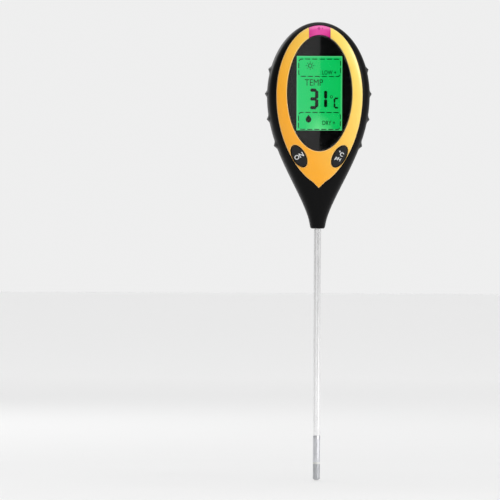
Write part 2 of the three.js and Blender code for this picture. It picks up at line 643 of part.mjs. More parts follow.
// From the foot of the snap, through the slot in the bay, to the back of the board.
function batteryLead(side) {
  const x = side * 1.7;
  const slotY = BAY_FLOOR_Y + 1.2;
  const start = batteryMiddleY - SNAP_DEPTH / 2 + 1.2;
  return wire(
    [
      [x, start, SNAP_FOOT_Z - SLIP],
      [x, start - 0.3, SNAP_FOOT_Z - 0.7],
      [x, slotY + 0.6, SNAP_FOOT_Z - 1.1],
      [x, slotY, BAY_FOOT_Z],
      [x, slotY, BAY_FOOT_Z - BAY_WALL],
      [x, slotY - 0.5, BAY_FOOT_Z - BAY_WALL - 1.6],
      [x, BOARD_BACK_Y + 1, BAY_FOOT_Z - BAY_WALL - 2.2],
      [x, BOARD_BACK_Y + 0.15, BAY_FOOT_Z - BAY_WALL - 2.2],
    ],
    LEAD_RADIUS,
    16,
  );
}

// ---------------------------------------------------------------- probe

const probeTube = () => ring(PROBE_RADIUS, PROBE_RADIUS - PROBE_WALL, [TUBE_END_Z, PROBE_TOP_Z], 24);

const upperElectrode = () => ring(PROBE_RADIUS, CORE_RADIUS, [SLEEVE_END_Z, TUBE_END_Z - SLIP / 2], 24);

// A washer between the electrodes, with a spigot into the bore of each.
function electrodeInsulator() {
  const [spigot, bore] = [CORE_RADIUS - 0.08, LEAD_RADIUS + 0.1];
  const [top, foot] = [SLEEVE_END_Z - SLIP / 2, INSULATOR_END_Z];
  return turned(
    [
      [bore, foot - 2],
      [spigot, foot - 2],
      [spigot, foot],
      [PROBE_RADIUS, foot],
      [PROBE_RADIUS, top],
      [spigot, top],
      [spigot, top + 3],
      [bore, top + 3],
      [bore, foot - 2],
    ],
    24,
  );
}

function tipElectrode() {
  const top = INSULATOR_END_Z - SLIP / 2;
  const profile = [[0, TIP_END_Z]];
  for (let k = 0; k <= 6; k++) {
    const turn = (Math.PI / 2) * (k / 6);
    const rise = TIP_ROUND * (1 - Math.cos(turn));
    profile.push([PROBE_RADIUS - TIP_ROUND * (1 - Math.sin(turn)), TIP_END_Z + rise]);
  }
  profile.push([PROBE_RADIUS, top], [CORE_RADIUS, top], [CORE_RADIUS, TIP_END_Z + 2.6], [0, TIP_END_Z + 2.6]);
  return turned(profile, 24);
}

const sensorZ = TIP_END_Z + 3.6;
const temperatureSensor = () => solid(new THREE.SphereGeometry(0.7, 10, 8).translate(0, 0, sensorZ));

const probeCollar = () => ring(COLLAR_RADIUS, PROBE_RADIUS + SLIP / 2, [COLLAR_Z, COLLAR_Z + COLLAR_LENGTH]);

function probeSeal() {
  const ringRadius = PROBE_RADIUS + 0.05 + SEAL_SECTION;
  return solid(new THREE.TorusGeometry(ringRadius, SEAL_SECTION, 6, 24).translate(0, 0, SEAL_Z));
}

// Where a lead leaves the top of the probe, goes round the lowest screw and meets the board.
const leadTail = (side) => [
  [side * 2.6, 0.4, PROBE_TOP_Z + 1.7],
  [side * 5, 0.8, CASE_SCREW_FOOT_Z - 2.6],
  [side * 5.2, 0.8, CASE_SCREW_FOOT_Z + 2],
  [side * 4, 0, CASE_SCREW_FOOT_Z + 7],
  [side * 2.6, BOARD_BACK_Y + 1.5, BOARD_FOOT_Z + 2.6],
  [side * 2.5, BOARD_BACK_Y + 0.15, BOARD_FOOT_Z + 3],
];

const probeAxis = [sensorZ + 0.85, SLEEVE_END_Z, TUBE_END_Z, 0].map((z) => [0, 0, z]);
const sensorLead = () =>
  wire([...probeAxis, [0.3, 0, PROBE_TOP_Z - 1], ...leadTail(1)], LEAD_RADIUS, 60);

const tubeTop = [-PROBE_RADIUS + PROBE_WALL / 2, 0, PROBE_TOP_Z + 0.15];
const tubeLead = () => wire([tubeTop, ...leadTail(-1)], LEAD_RADIUS, 12);

// ---------------------------------------------------------------- materials and assembly

function finish(colour, roughness, metalness = 0, extra = {}) {
  return new THREE.MeshStandardMaterial({ color: colour, roughness, metalness, ...extra });
}
const finishes = {
  blackCase: finish(0x17181a, 0.5),
  amberTrim: finish(0xf7ab22, 0.35),
  pinkFilter: finish(0xe0479f, 0.2),
  clearLens: finish(0x0b0c0d, 0.05),
  blackPrint: finish(0x050505, 0.4),
  litDisplay: finish(0x12c864, 0.4),
  whitePlastic: finish(0xe6e6e0, 0.5),
  zebraRubber: finish(0x8a8a86, 0.7),
  boardGreen: finish(0x1d5b34, 0.5),
  resin: finish(0x101010, 0.35),
  darkKey: finish(0x1f2124, 0.55),
  steel: finish(0xc8c8c8, 0.3, 1),
  battery: finish(0x8a8f96, 0.4, 0.6),
  redWire: finish(0xc02020, 0.5),
  blackWire: finish(0x151515, 0.5),
  brightTube: finish(0xe4e4e4, 0.15, 1),
  mattZinc: finish(0xc2c4c8, 0.45, 1),
  insulator: finish(0xe6e6e6, 0.5),
  greyTip: finish(0x9a9da2, 0.5, 1),
  sealRubber: finish(0x111111, 0.8),
};

const meter = new THREE.Group();
function add(name, body, material) {
  const mesh = new THREE.Mesh(geometryOf(body), finishes[material]);
  mesh.name = name;
  meter.add(mesh);
}

add("front_case", frontCase(), "blackCase");
add("rear_case", rearCase(), "blackCase");
add("battery_door", batteryDoor(), "blackCase");
add("bezel", bezel(), "amberTrim");
add("light_window", lightWindow(), "pinkFilter");
add("display_lens", displayLens(), "clearLens");
add("display_mask", displayMask(), "blackPrint");
add("lcd_panel", lcdPanel(), "litDisplay");
add("lcd_tray", lcdTray(), "whitePlastic");
add("backlight_guide", backlightGuide(), "whitePlastic");
add("backlight_led", backlightLed(), "whitePlastic");
add("lcd_contact_upper", contactStrip(1), "zebraRubber");
add("lcd_contact_lower", contactStrip(-1), "zebraRubber");
add("main_board", mainBoard(), "boardGreen");
add("processor", processor(), "resin");
add("capacitor", capacitor(), "resin");
add("light_sensor", lightSensor(), "clearLens");
for (const [name, side] of [["power", -1], ["mode", 1]]) {
  add(name + "_switch", tactSwitch(side), "resin");
  add(name + "_switch_plunger", switchPlunger(side), "whitePlastic");
  add(name + "_button", keyCap(side), "darkKey");
}
caseScrewPlaces.forEach(([x, z], k) => {
  add("case_screw_" + (k + 1), crossHeadScrew(CASE_SCREW, CASE_SCREW.seatY + SLIP, x, z), "steel");
});
boardScrewPlaces.forEach(([x, z], k) => {
  add("board_screw_" + (k + 1), crossHeadScrew(BOARD_SCREW, BOARD_BACK_Y + SLIP, x, z), "steel");
});
add("battery_body", batteryCan(), "battery");
add("battery_positive_stud", studAt(1, POSITIVE_STUD, studSpan), "steel");
add("battery_negative_stud", studAt(-1, NEGATIVE_STUD, studSpan), "steel");
add("battery_snap", batterySnap(), "resin");
add("battery_lead_red", batteryLead(1), "redWire");
add("battery_lead_black", batteryLead(-1), "blackWire");
add("probe_tube", probeTube(), "brightTube");
add("upper_electrode", upperElectrode(), "mattZinc");
add("electrode_insulator", electrodeInsulator(), "insulator");
add("tip_electrode", tipElectrode(), "greyTip");
add("temperature_sensor", temperatureSensor(), "resin");
add("probe_collar", probeCollar(), "whitePlastic");
add("probe_seal", probeSeal(), "sealRubber");
add("sensor_lead", sensorLead(), "redWire");
add("tube_lead", tubeLead(), "blackWire");

export default meter;
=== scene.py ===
import math

import bmesh
import bpy
from mathutils import Matrix, Vector


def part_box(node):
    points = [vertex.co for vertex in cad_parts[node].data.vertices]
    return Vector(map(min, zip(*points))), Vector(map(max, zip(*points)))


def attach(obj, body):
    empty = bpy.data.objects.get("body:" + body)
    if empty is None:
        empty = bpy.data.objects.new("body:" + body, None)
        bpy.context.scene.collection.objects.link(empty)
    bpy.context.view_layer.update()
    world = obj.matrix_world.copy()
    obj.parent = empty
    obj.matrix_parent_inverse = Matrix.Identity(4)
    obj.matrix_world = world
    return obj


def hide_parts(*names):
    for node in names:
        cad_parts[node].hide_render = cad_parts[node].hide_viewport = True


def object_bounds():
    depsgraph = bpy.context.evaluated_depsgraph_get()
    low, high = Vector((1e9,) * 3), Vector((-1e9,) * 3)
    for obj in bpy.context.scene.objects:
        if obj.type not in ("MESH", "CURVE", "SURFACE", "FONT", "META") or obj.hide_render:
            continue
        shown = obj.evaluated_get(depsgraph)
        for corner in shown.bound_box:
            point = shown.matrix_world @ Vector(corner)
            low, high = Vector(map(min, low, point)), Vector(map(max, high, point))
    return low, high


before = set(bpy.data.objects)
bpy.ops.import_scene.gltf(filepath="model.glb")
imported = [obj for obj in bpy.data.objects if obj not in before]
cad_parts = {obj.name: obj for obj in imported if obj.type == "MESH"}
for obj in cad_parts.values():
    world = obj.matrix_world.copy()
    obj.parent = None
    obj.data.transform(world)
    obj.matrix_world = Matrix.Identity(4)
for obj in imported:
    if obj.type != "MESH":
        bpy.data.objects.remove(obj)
cad_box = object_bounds()

# ---------------------------------------------------------------- stage
# The meter stands with its probe's tip just over a plain pale floor, in a white room with a dark
# wall behind the camera. A big soft lamp lights it from the right, and a dim upright panel on the
# left shows in the glossy lens.

mm = 0.001
scene = bpy.context.scene
scene.view_settings.view_transform = "Standard"

camera_distance = 3220 * mm
camera_side = math.radians(-3)  # looks at the meter from a little to its left
camera_roll = math.radians(0.29)  # and is turned a little, so that the meter leans
picture_centre = (-39.1 * mm, -12.6 * mm)  # across and up from the neck's end
toward_camera = Vector((math.sin(camera_side), -math.cos(camera_side), 0))
across = Vector((math.cos(camera_side), math.sin(camera_side), 0))
camera_place = toward_camera * camera_distance + Vector((0, 0, picture_centre[1]))
aim = across * picture_centre[0] + Vector((0, 0, picture_centre[1]))

camera_data = bpy.data.cameras.new("camera")
camera_data.lens = 400
camera_data.sensor_width = 36
camera = bpy.data.objects.new("camera", camera_data)
camera.location = camera_place
level = (aim - camera_place).to_track_quat("-Z", "Y").to_matrix()
camera.rotation_euler = (level @ Matrix.Rotation(camera_roll, 3, "Z")).to_euler()
scene.collection.objects.link(camera)
scene.camera = camera


def soft_lamp(name, place, target, width, height, watts):
    lamp_data = bpy.data.lights.new(name, "AREA")
    lamp_data.shape = "RECTANGLE"
    lamp_data.size = width
    lamp_data.size_y = height
    lamp_data.energy = watts
    lamp = bpy.data.objects.new(name, lamp_data)
    lamp.location = place
    lamp.rotation_euler = (Vector(target) - Vector(place)).to_track_quat("-Z", "Y").to_euler()
    scene.collection.objects.link(lamp)


head_middle = (0, 0, 70 * mm)
soft_lamp("key_lamp", (1.9, -1.7, 0.8), head_middle, 0.9, 0.9, 36)
soft_lamp("back_lamp", (-0.7, 1.1, 0.6), head_middle, 0.7, 0.7, 3)
overhead_data = bpy.data.lights.new("overhead", "SUN")
overhead_data.energy = 1.65
overhead_data.angle = math.radians(70)
overhead = bpy.data.objects.new("overhead", overhead_data)
scene.collection.objects.link(overhead)

# The panel's right-hand edge is where a line from the camera by way of the lens's middle meets it.
panel_y = -0.9
panel_edge = -camera_place.x * (panel_y / camera_place.y)
panel_width = 1.3
soft_lamp("left_panel", (panel_edge - panel_width / 2, panel_y, 0.05), (panel_edge - panel_width / 2, 0, 0.05),
          panel_width, 1.6, 2.4)

def operator(operation, swapped=False):
    """A method that adds a Math node."""
    def method(self, other=0.0):
        return self.maths(operation, other, self) if swapped else self.maths(operation, self, other)
    return method


class Number:
    """A number that changes over a surface: arithmetic on it adds Math nodes."""

    def __init__(self, tree, socket):
        self.tree = tree
        self.socket = socket

    def maths(self, operation, first, second):
        node = self.tree.nodes.new("ShaderNodeMath")
        node.operation = operation
        for slot, value in zip(node.inputs, (first, second)):
            if isinstance(value, Number):
                self.tree.links.new(value.socket, slot)
            else:
                slot.default_value = value
        return Number(self.tree, node.outputs[0])

    __add__, __radd__ = operator("ADD"), operator("ADD", True)
    __sub__, __rsub__ = operator("SUBTRACT"), operator("SUBTRACT", True)
    __mul__, __rmul__ = operator("MULTIPLY"), operator("MULTIPLY", True)
    __truediv__, __pow__ = operator("DIVIDE"), operator("POWER")
    __abs__, larger, sine = operator("ABSOLUTE"), operator("MAXIMUM"), operator("SINE")


class Wiring:
    """A node tree, whose nodes are all made by node()."""

    def __init__(self, tree):
        self.tree = tree

    def node(self, kind, settings=None, output=0, **sockets):
        """Makes a node. A socket is named with _ for each space, or by its number, such as _1."""
        node = self.tree.nodes.new("ShaderNode" + kind)
        for setting, value in (settings or {}).items():
            setattr(node, setting, value)
        for name, value in sockets.items():
            slot = node.inputs[int(name[1:]) if name[1:].isdigit() else name.replace("_", " ")]
            if isinstance(value, Number):
                self.tree.links.new(value.socket, slot)
            else:
                slot.default_value = value
        return Number(self.tree, node.outputs[output])

    def between(self, amount, low, high):
        """0 where amount is at low, 1 at high, and held at either end."""
        return self.node("MapRange", Value=amount, From_Min=low, From_Max=high)


class Finish(Wiring):
    """A material: its plain values are set at once, and what varies is fed in."""

    def __init__(self, name, colour, roughness, **plain):
        self.material = bpy.data.materials.new(name)
        self.material.use_nodes = True
        super().__init__(self.material.node_tree)
        self.shader = self.tree.nodes["Principled BSDF"]
        self.shader.inputs["Base Color"].default_value = (*colour, 1)
        self.shader.inputs["Roughness"].default_value = roughness
        for socket, value in plain.items():
            self.shader.inputs[socket.replace("_", " ")].default_value = value

    def place(self, stretch=(1, 1, 1)):
        coordinates = self.node("TexCoord", output="Object")
        return self.node("Mapping", Vector=coordinates, Scale=stretch)

    def noise(self, size, detail=2.0, stretch=(1, 1, 1)):
        """Smooth blotches of the given size in metres, from 0 to 1."""
        return self.node("TexNoise", Vector=self.place(stretch), Scale=1 / size, Detail=detail)

    def axis(self, name):
        return self.node("SeparateXYZ", output=name, Vector=self.place())

    def edges(self):
        """Where the surface turns outward sharply, as wear does, from 0 to 1."""
        return self.between(self.node("NewGeometry", output="Pointiness"), 0.53, 0.62)

    def blend(self, factor, first, second):
        settings = {"data_type": "RGBA"}
        first, second = [c if isinstance(c, Number) else (*c, 1) for c in (first, second)]
        return self.node("Mix", settings, output=2, _0=factor, _6=first, _7=second)

    def feed(self, **sockets):
        for name, value in sockets.items():
            self.tree.links.new(value.socket, self.shader.inputs[name.replace("_", " ")])

    def bump(self, *layers):
        """Raised detail, each layer a (height from 0 to 1, depth in metres)."""
        normal = None
        for height, depth in layers:
            extra = {} if normal is None else {"Normal": normal}
            normal = self.node("Bump", Height=height, Distance=depth, Strength=1.0, **extra)
        self.feed(Normal=normal)


room = bpy.data.worlds.new("room")
scene.world = room
room.use_nodes = True
walls = Wiring(room.node_tree)
toward_back = walls.node("SeparateXYZ", output="Y", Vector=walls.node("TexCoord", output="Generated"))
wall_grey = 0.006 + 0.494 * walls.between(toward_back, -0.72, 0.12)
either = walls.node("MixShader", Fac=walls.node("LightPath", output="Is Camera Ray"),
                    _1=walls.node("Background", Color=wall_grey),
                    _2=walls.node("Background", Color=(0.86, 0.86, 0.86, 1)))
walls.tree.links.new(either.socket, walls.tree.nodes["World Output"].inputs["Surface"])

floor_finish = Finish("floor_paint", (0.9, 0.9, 0.9), 0.7)
floor_finish.feed(Roughness=0.6 + 0.2 * floor_finish.noise(0.08))
# Painted shade: the floor's colour is darker near the meter, evening out the pool of light the lamps throw there, and
# pales with distance.
far = (floor_finish.axis("X") ** 2 + floor_finish.axis("Y") ** 2) ** 0.5
floor_shade_falloff = floor_finish.between(far, 0.3, 2.6)
floor_finish.feed(Base_Color=floor_finish.blend(floor_shade_falloff, (0.8, 0.8, 0.8), (0.97, 0.97, 0.97)))
floor_form = bmesh.new()
bmesh.ops.create_grid(floor_form, x_segments=8, y_segments=8, size=14)
bmesh.ops.translate(floor_form, verts=floor_form.verts, vec=(0, 0, cad_box[0][2] - 0.5 * mm))
floor_mesh = bpy.data.meshes.new("floor")
floor_form.to_mesh(floor_mesh)
floor_form.free()
floor_mesh.materials.append(floor_finish.material)
floor = bpy.data.objects.new("floor", floor_mesh)
scene.collection.objects.link(floor)

# ---------------------------------------------------------------- front case
# The front half of the head, moulded in black ABS about 2.4 mm thick. It meets the rear half on a
# flat parting plane, and its face is sunk where the bezel, window, lens and keys sit.

case_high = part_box("rear_case")[1]
bezel_low, bezel_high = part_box("bezel")
lens_low, lens_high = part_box("display_lens")
nub_proud = 1.5 * mm
half_width = case_high.x - nub_proud
widest_z = 77 * mm
crown_rise = case_high.z - widest_z
neck_radius = 4.2 * mm
neck_rounding = 1.0 * mm
back_flat_y = case_high.y
wall = 2.4 * mm
seam = 0.1 * mm
FRONT, BACK = -1, 1
full_depth = {FRONT: 15.5 * mm, BACK: 18.6 * mm}
full_squareness = {FRONT: 5, BACK: 3.6}


def neck_taper(z):
    """How far the rounded edge at the neck's end pulls the surface in."""
    short = max(0, neck_rounding - z)
    return neck_rounding - math.sqrt(neck_rounding**2 - short**2)


def half_width_at(z, grow=0):
    if z >= widest_z:
        share = min(1, (z - widest_z) / (crown_rise + grow))
        return (half_width + grow) * math.sqrt(1 - share**2)
    flare = math.sin(math.pi / 2 * (max(0, z) / widest_z) ** 0.77) ** 2
    return neck_radius + grow + (half_width - neck_radius) * flare - neck_taper(max(0, z))


def surface(x, z, side, grow=0):
    """The Y of the head's skin at X and Z, moved out by grow."""
    height = min(max(0, z), widest_z)
    swell = 1 - (1 - height / widest_z) ** 2.4
    depth = neck_radius + grow + (full_depth[side] - neck_radius) * swell - neck_taper(height)
    if z < widest_z:
        out = abs(x) / half_width_at(z, grow)
        squareness = 2 + (full_squareness[side] - 2) * height / widest_z
    else:
        out = math.hypot(x / (half_width + grow), (z - widest_z) / (crown_rise + grow))
        squareness = full_squareness[side]
    y = depth * max(0, 1 - out**squareness) ** (1 / squareness)
    if side == BACK:  # the back is cut flat, with a soft edge
        softness = 0.7 * mm
        cut = back_flat_y + grow
        share = min(1, max(0, 0.5 + 0.5 * (cut - y) / softness))
        y = cut + (y - cut) * share - softness * share * (1 - share)
    return side * max(y, seam)


# Each outline is a function of t: 0 at the top, 1 at the bottom, 2 back at the top by the left side.
CROWN_SHARE = 0.36
SIDE_SHARE = 0.92


def mirrored(half_outline):
    """An outline from its right-hand half, as a function of t from 0 to 2."""
    def whole(t):
        x, z = half_outline(t if t <= 1 else 2 - t)
        return (x, z) if t <= 1 else (-x, z)
    return whole


def head_outline(grow=0, foot=0.0):
    def half(t):
        if t < CROWN_SHARE:
            turn = math.pi / 2 * t / CROWN_SHARE
            return (half_width + grow) * math.sin(turn), widest_z + (crown_rise + grow) * math.cos(turn)
        if t < SIDE_SHARE:
            left = (SIDE_SHARE - t) / (SIDE_SHARE - CROWN_SHARE)
            z = foot + (widest_z - foot) * left**1.2
            return half_width_at(z, grow), z
        left = (1 - t) / (1 - SIDE_SHARE)
        return half_width_at(foot, grow) * left, foot
    return mirrored(half)


bezel_half = bezel_high.x
bezel_foot = bezel_low.z
bezel_crown = 117.4 * mm - widest_z


def bezel_outline(grow=0):
    """Half an ellipse, a pointed sweep, and a small arrow tip with shoulders."""
    half_across, foot = bezel_half + grow, bezel_foot - grow
    sweep_foot = foot + 2.1 * mm
    last_fall = 0.945

    def half(t):
        if t < CROWN_SHARE:
            turn = math.pi / 2 * t / CROWN_SHARE
            return half_across * math.sin(turn), widest_z + (bezel_crown + grow) * math.cos(turn)
        if t < SIDE_SHARE:
            fall = last_fall * (t - CROWN_SHARE) / (SIDE_SHARE - CROWN_SHARE)
            return half_across * (1 - fall**2) ** (2 / 3), widest_z - fall * (widest_z - sweep_foot)
        corner = (0.156 * half_across, foot + 3.8 * mm)
        share = (t - SIDE_SHARE) / (1 - SIDE_SHARE)
        if share < 0.25:
            start = Vector(half(SIDE_SHARE - 1e-6))
            return tuple(start.lerp(Vector(corner), share / 0.25))
        return tuple(Vector(corner).lerp(Vector((0, foot)), (share - 0.25) / 0.75))
    return mirrored(half)


lens_half = lens_high.x + 0.1 * mm
lens_rise = (lens_high.z - lens_low.z) / 2 + 0.1 * mm
lens_z = (lens_high.z + lens_low.z) / 2


def lens_outline(grow=0):
    def half(t):
        turn = math.pi / 2 * (t / CROWN_SHARE if t < CROWN_SHARE else 1 + (t - CROWN_SHARE) / (1 - CROWN_SHARE))
        return (lens_half + grow) * math.sin(turn), lens_z + (lens_rise + grow) * math.cos(turn)
    return mirrored(half)


def on_skin(outline, side, grow):
    """A ring that follows an outline on the head's skin."""
    def ring(t):
        x, z = outline(t)
        return x, surface(x, z, side, grow), z
    return ring


def on_plane(outline, y):
    def ring(t):
        x, z = outline(t)
        return x, y, z
    return ring


def sheet_between(outer, inner, side, grow, count):
    """Rings on the skin from one outline to another, closest together at the first."""
    def ring_at(share):
        def between(t):
            (x, z), (inner_x, inner_z) = outer(t), inner(t)
            return x + (inner_x - x) * share, z + (inner_z - z) * share
        return on_skin(between, side, grow)
    return [ring_at((k / count) ** 3) for k in range(count + 1)]


def ringed(rings, stations=240, span=(0, 2)):
    """A skin through rings, each a function of t, one row of a grid to each ring."""
    form = bmesh.new()
    bmesh.ops.create_grid(form, x_segments=stations, y_segments=len(rings) - 1, size=0.5)
    for vertex in form.verts:
        along = (vertex.co.x + 0.5) * (span[1] - span[0]) + span[0]
        ring = rings[round((vertex.co.y + 0.5) * (len(rings) - 1))]
        vertex.co = ring(along)
    bmesh.ops.remove_doubles(form, verts=form.verts, dist=0.002 * mm)
    bmesh.ops.dissolve_degenerate(form, edges=form.edges, dist=0.001 * mm)
    open_edges = [edge for edge in form.edges if edge.is_boundary]
    if open_edges:
        bmesh.ops.holes_fill(form, edges=open_edges)
    bmesh.ops.recalc_face_normals(form, faces=form.faces)
    return form


def object_from(name, form):
    mesh = bpy.data.meshes.new(name)
    form.to_mesh(mesh)
    form.free()
    made = bpy.data.objects.new(name, mesh)
    scene.collection.objects.link(made)
    return made


def carved(form, tool, operation="DIFFERENCE"):
    """form with tool cut out of it, or joined to it. Both are used up."""
    body, cutter = object_from("carved_body", form), object_from("carving_tool", tool)
    modifier = body.modifiers.new("carve", "BOOLEAN")
    modifier.object = cutter
    modifier.operation = operation
    modifier.solver = "EXACT"
    result = bmesh.new()
    result.from_mesh(body.evaluated_get(bpy.context.evaluated_depsgraph_get()).to_mesh())
    for used in (body, cutter):
        mesh = used.data
        bpy.data.objects.remove(used)
        bpy.data.meshes.remove(mesh)
    return result


def together(forms):
    """Several forms as one."""
    joined = forms[0]
    for form in forms[1:]:
        mesh = bpy.data.meshes.new("joined")
        form.to_mesh(mesh)
        form.free()
        joined.from_mesh(mesh)
        bpy.data.meshes.remove(mesh)
    return joined


def softened(form, width, angle=35, segments=2):
    """Rounds every edge that turns more sharply than angle."""
    sharp = [edge for edge in form.edges if edge.is_manifold and edge.calc_face_angle(0) > math.radians(angle)]
    bmesh.ops.bevel(form, geom=sharp, offset=width, offset_type="OFFSET", segments=segments, profile=0.5,
                    affect="EDGES", material=-1, clamp_overlap=True)
    return form


def fit_piece(name, form, finish, body="housing", stands_for=(), sharp_angle=38):
    piece = object_from(name, form)
    piece.data.materials.append(finish.material)
    piece.data.polygons.foreach_set("use_smooth", [True] * len(piece.data.polygons))
    piece.data.set_sharp_from_angle(angle=math.radians(sharp_angle))
    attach(piece, body)
    if stands_for:
        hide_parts(*stands_for)
    return piece


def ellipse_ring(centre, half_across, half_up, lean=0, y=None, side=FRONT, grow=0):
    """An oval ring, flat at y, or on the skin moved out by grow where y is left out."""
    def ring(t):
        turn = math.pi * t
        across, up = half_across * math.sin(turn), half_up * math.cos(turn)
        x = centre[0] + across * math.cos(lean) + up * math.sin(lean)
        z = centre[1] - across * math.sin(lean) + up * math.cos(lean)
        return x, surface(x, z, side, grow) if y is None else y, z
    return ring


def around(axis_x, axis_y, radius, z):
    """A level circle about a line along Z."""
    def ring(t):
        return axis_x + radius * math.sin(math.pi * t), axis_y + radius * math.cos(math.pi * t), z
    return ring


def facing_back(x, z, radius, y):
    """A circle about a line along Y."""
    def ring(t):
        return x + radius * math.sin(math.pi * t), y, z + radius * math.cos(math.pi * t)
    return ring


def rectangle_outline(half, low, high, radius, corners=(0.172, 0.582)):
    """A rectangle with round corners. corners gives the t of its upper and lower corners."""
    quarter = math.pi * radius / 2
    to_corner = half - radius + quarter / 2
    between = high - low - 2 * radius + quarter
    upper, lower = corners

    def at(length):
        if length < half - radius:
            return length, high
        length -= half - radius
        if length < quarter:
            turn = length / radius
            return half - radius + radius * math.sin(turn), high - radius + radius * math.cos(turn)
        length -= quarter
        if length < high - low - 2 * radius:
            return half, high - radius - length
        length -= high - low - 2 * radius
        if length < quarter:
            turn = length / radius
            return half - radius + radius * math.cos(turn), low + radius - radius * math.sin(turn)
        return max(0, half - radius - (length - quarter)), low

    def half_outline(t):
        if t < upper:
            return at(to_corner * t / upper)
        if t < lower:
            return at(to_corner + between * (t - upper) / (lower - upper))
        return at(to_corner + between + to_corner * (t - lower) / (1 - lower))
    return mirrored(half_outline)


key_places = {-1: "power_button", 1: "mode_button"}
key_lean = math.radians(30)
key_size = (3.35 * mm, 6.6 * mm)
key_gap = 0.5 * mm
trim_proud = 0.2 * mm


def key_centre(side):
    low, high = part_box(key_places[side])
    return (low.x + high.x) / 2, (low.z + high.z) / 2


def key_ring(side, grow, y=None, skin=0.0):
    """The oval of a key, moved out by grow, flat at y or on the skin moved out by skin."""
    return ellipse_ring(key_centre(side), key_size[0] + grow, key_size[1] + grow, side * key_lean, y, grow=skin)


def key_cutter(side):
    """A well for a key, with a narrow chamfer at its mouth."""
    chamfer = 0.35 * mm
    x, z = key_centre(side)
    return ringed([
        lambda t: (x, -4 * mm, z),
        key_ring(side, key_gap, -4 * mm),
        key_ring(side, key_gap, skin=trim_proud - chamfer),
        key_ring(side, key_gap + 1.2 * chamfer, skin=trim_proud + 0.2 * chamfer),
        key_ring(side, key_gap + 1.2 * chamfer, -25 * mm),
        lambda t: (x, -25 * mm, z),
    ], stations=72)


recess_depth = 1.3 * mm
lens_seat_y = lens_high.y + 0.3 * mm
seat_back_y = lens_seat_y + 1.4 * mm
cavity_foot = 17.3 * mm
outer, inner = head_outline(), head_outline(-wall, cavity_foot)
view_width, view_height = 26.3 * mm, 42.9 * mm
view_low, view_high = lens_z - view_height / 2, lens_z + view_height / 2
view_corners = (0.19, 0.66)
display_hole = rectangle_outline(view_width / 2 + 0.8 * mm, view_low - 0.8 * mm, view_high + 0.8 * mm, 0.4 * mm,
                                 view_corners)

# The grip nubs are moulded with both halves: four low pointed ridges on each flank, over the seam.
nub_heights = [92 * mm, 78 * mm, 63.4 * mm, 48.2 * mm]
nub_base = 2.5 * mm
nub_reach = 8 * mm


def nubbed(ring):
    """A ring with the nubs pushed out of its flanks. They die away toward the face and the back."""
    def pushed(t):
        x, y, z = ring(t)
        push = 0
        for middle in nub_heights:
            push += nub_proud * 1.04 * max(0, 1 - math.hypot(z - middle, 0.1 * mm) / nub_base) ** 1.4
        push *= max(0, 1 - (y / nub_reach) ** 2)
        lean = math.atan2(half_width_at(z + mm) - half_width_at(z - mm), 2 * mm)
        return x + math.copysign(push * math.cos(lean), x), y, z - push * math.sin(lean)
    return pushed


# The probe runs up the neck in a bore, with a groove for its seal and a wider one for its collar.
probe_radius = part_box("probe_tube")[1].x


def passage():
    steps = [(0, -1), (0.15, -1), (0.15, 3.3), (1.0, 3.3), (1.0, 4.8), (0.15, 4.8), (0.15, 12.3),
             (1.5, 12.3), (1.5, 15.7), (0.15, 15.7), (0.15, 19), (0, 19)]
    return ringed([around(0, 0, probe_radius + out * mm if out else 0, z * mm) for out, z in steps], stations=48)


front_rings = [nubbed(on_plane(outer, -seam))]
front_rings += [nubbed(ring) for ring in sheet_between(outer, bezel_outline(0.3 * mm), FRONT, 0, 26)]
front_rings += [
    on_skin(bezel_outline(0.14 * mm), FRONT, -0.06 * mm),
    on_skin(bezel_outline(0.08 * mm), FRONT, -0.2 * mm),
    on_skin(bezel_outline(0.08 * mm), FRONT, -recess_depth),
    on_skin(lens_outline(0.15 * mm), FRONT, -recess_depth),
    on_plane(lens_outline(0.15 * mm), lens_seat_y),
    on_plane(display_hole, lens_seat_y),
    on_plane(display_hole, seat_back_y),
    on_plane(lens_outline(1.6 * mm), seat_back_y),
]
front_rings += sheet_between(inner, lens_outline(1.7 * mm), FRONT, -wall, 14)[::-1]
tongue = head_outline(-0.8 * mm, 0.8 * mm)  # fills the inner part of the seam
front_rings += [on_plane(inner, 0.8 * seam), on_plane(tongue, 0.8 * seam), on_plane(tongue, -seam),
                nubbed(on_plane(outer, -seam))]
front_form = carved(ringed(front_rings, stations=600), together([key_cutter(-1), key_cutter(1), passage()]))

# Satin black ABS: a fine spark-eroded grain, patches that handling has polished, faint dust.
case_black = Finish("case_black", (0.002, 0.002, 0.0022), 0.36, Specular_IOR_Level=0.1)
grain = case_black.noise(0.22 * mm, 3)
handled = case_black.noise(14 * mm, 3)
dust = case_black.between(case_black.noise(0.7 * mm, 4), 0.62, 0.8)
grip = case_black.between(abs(case_black.axis("X")), 20 * mm, 23 * mm)
rubbed = case_black.edges() * grip.larger(1 - case_black.between(case_black.axis("Z"), 2 * mm, 4 * mm))
case_black.feed(Roughness=0.28 + 0.12 * handled + 0.06 * grain - 0.08 * rubbed)
dusty = case_black.blend(dust * 0.22, (0.002, 0.002, 0.0022), (0.014, 0.0135, 0.0125))
case_black.feed(Base_Color=case_black.blend(rubbed * 0.5, dusty, (0.03, 0.03, 0.031)))
case_black.bump((case_black.noise(3 * mm), 0.015 * mm), (grain, 0.006 * mm))
fit_piece("front_shell", front_form, case_black, stands_for=["front_case"])

# ---------------------------------------------------------------- bezel
# An amber ring moulded in ABS and glued into the front's recess. It frames the lens and the keys,
# comes to an arrow tip below them, and stops either side of the light window. Its edges are chamfered.

window_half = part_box("light_window")[1].x
bezel_gap = 0.12 * mm
chamfer = 0.32 * mm


def crown_t(outline, x):
    """The t at which an outline's crown crosses X."""
    low, high = 0.0, CROWN_SHARE
    for _ in range(40):
        middle = (low + high) / 2
        low, high = (middle, high) if outline(middle)[0] < x else (low, middle)
    return low


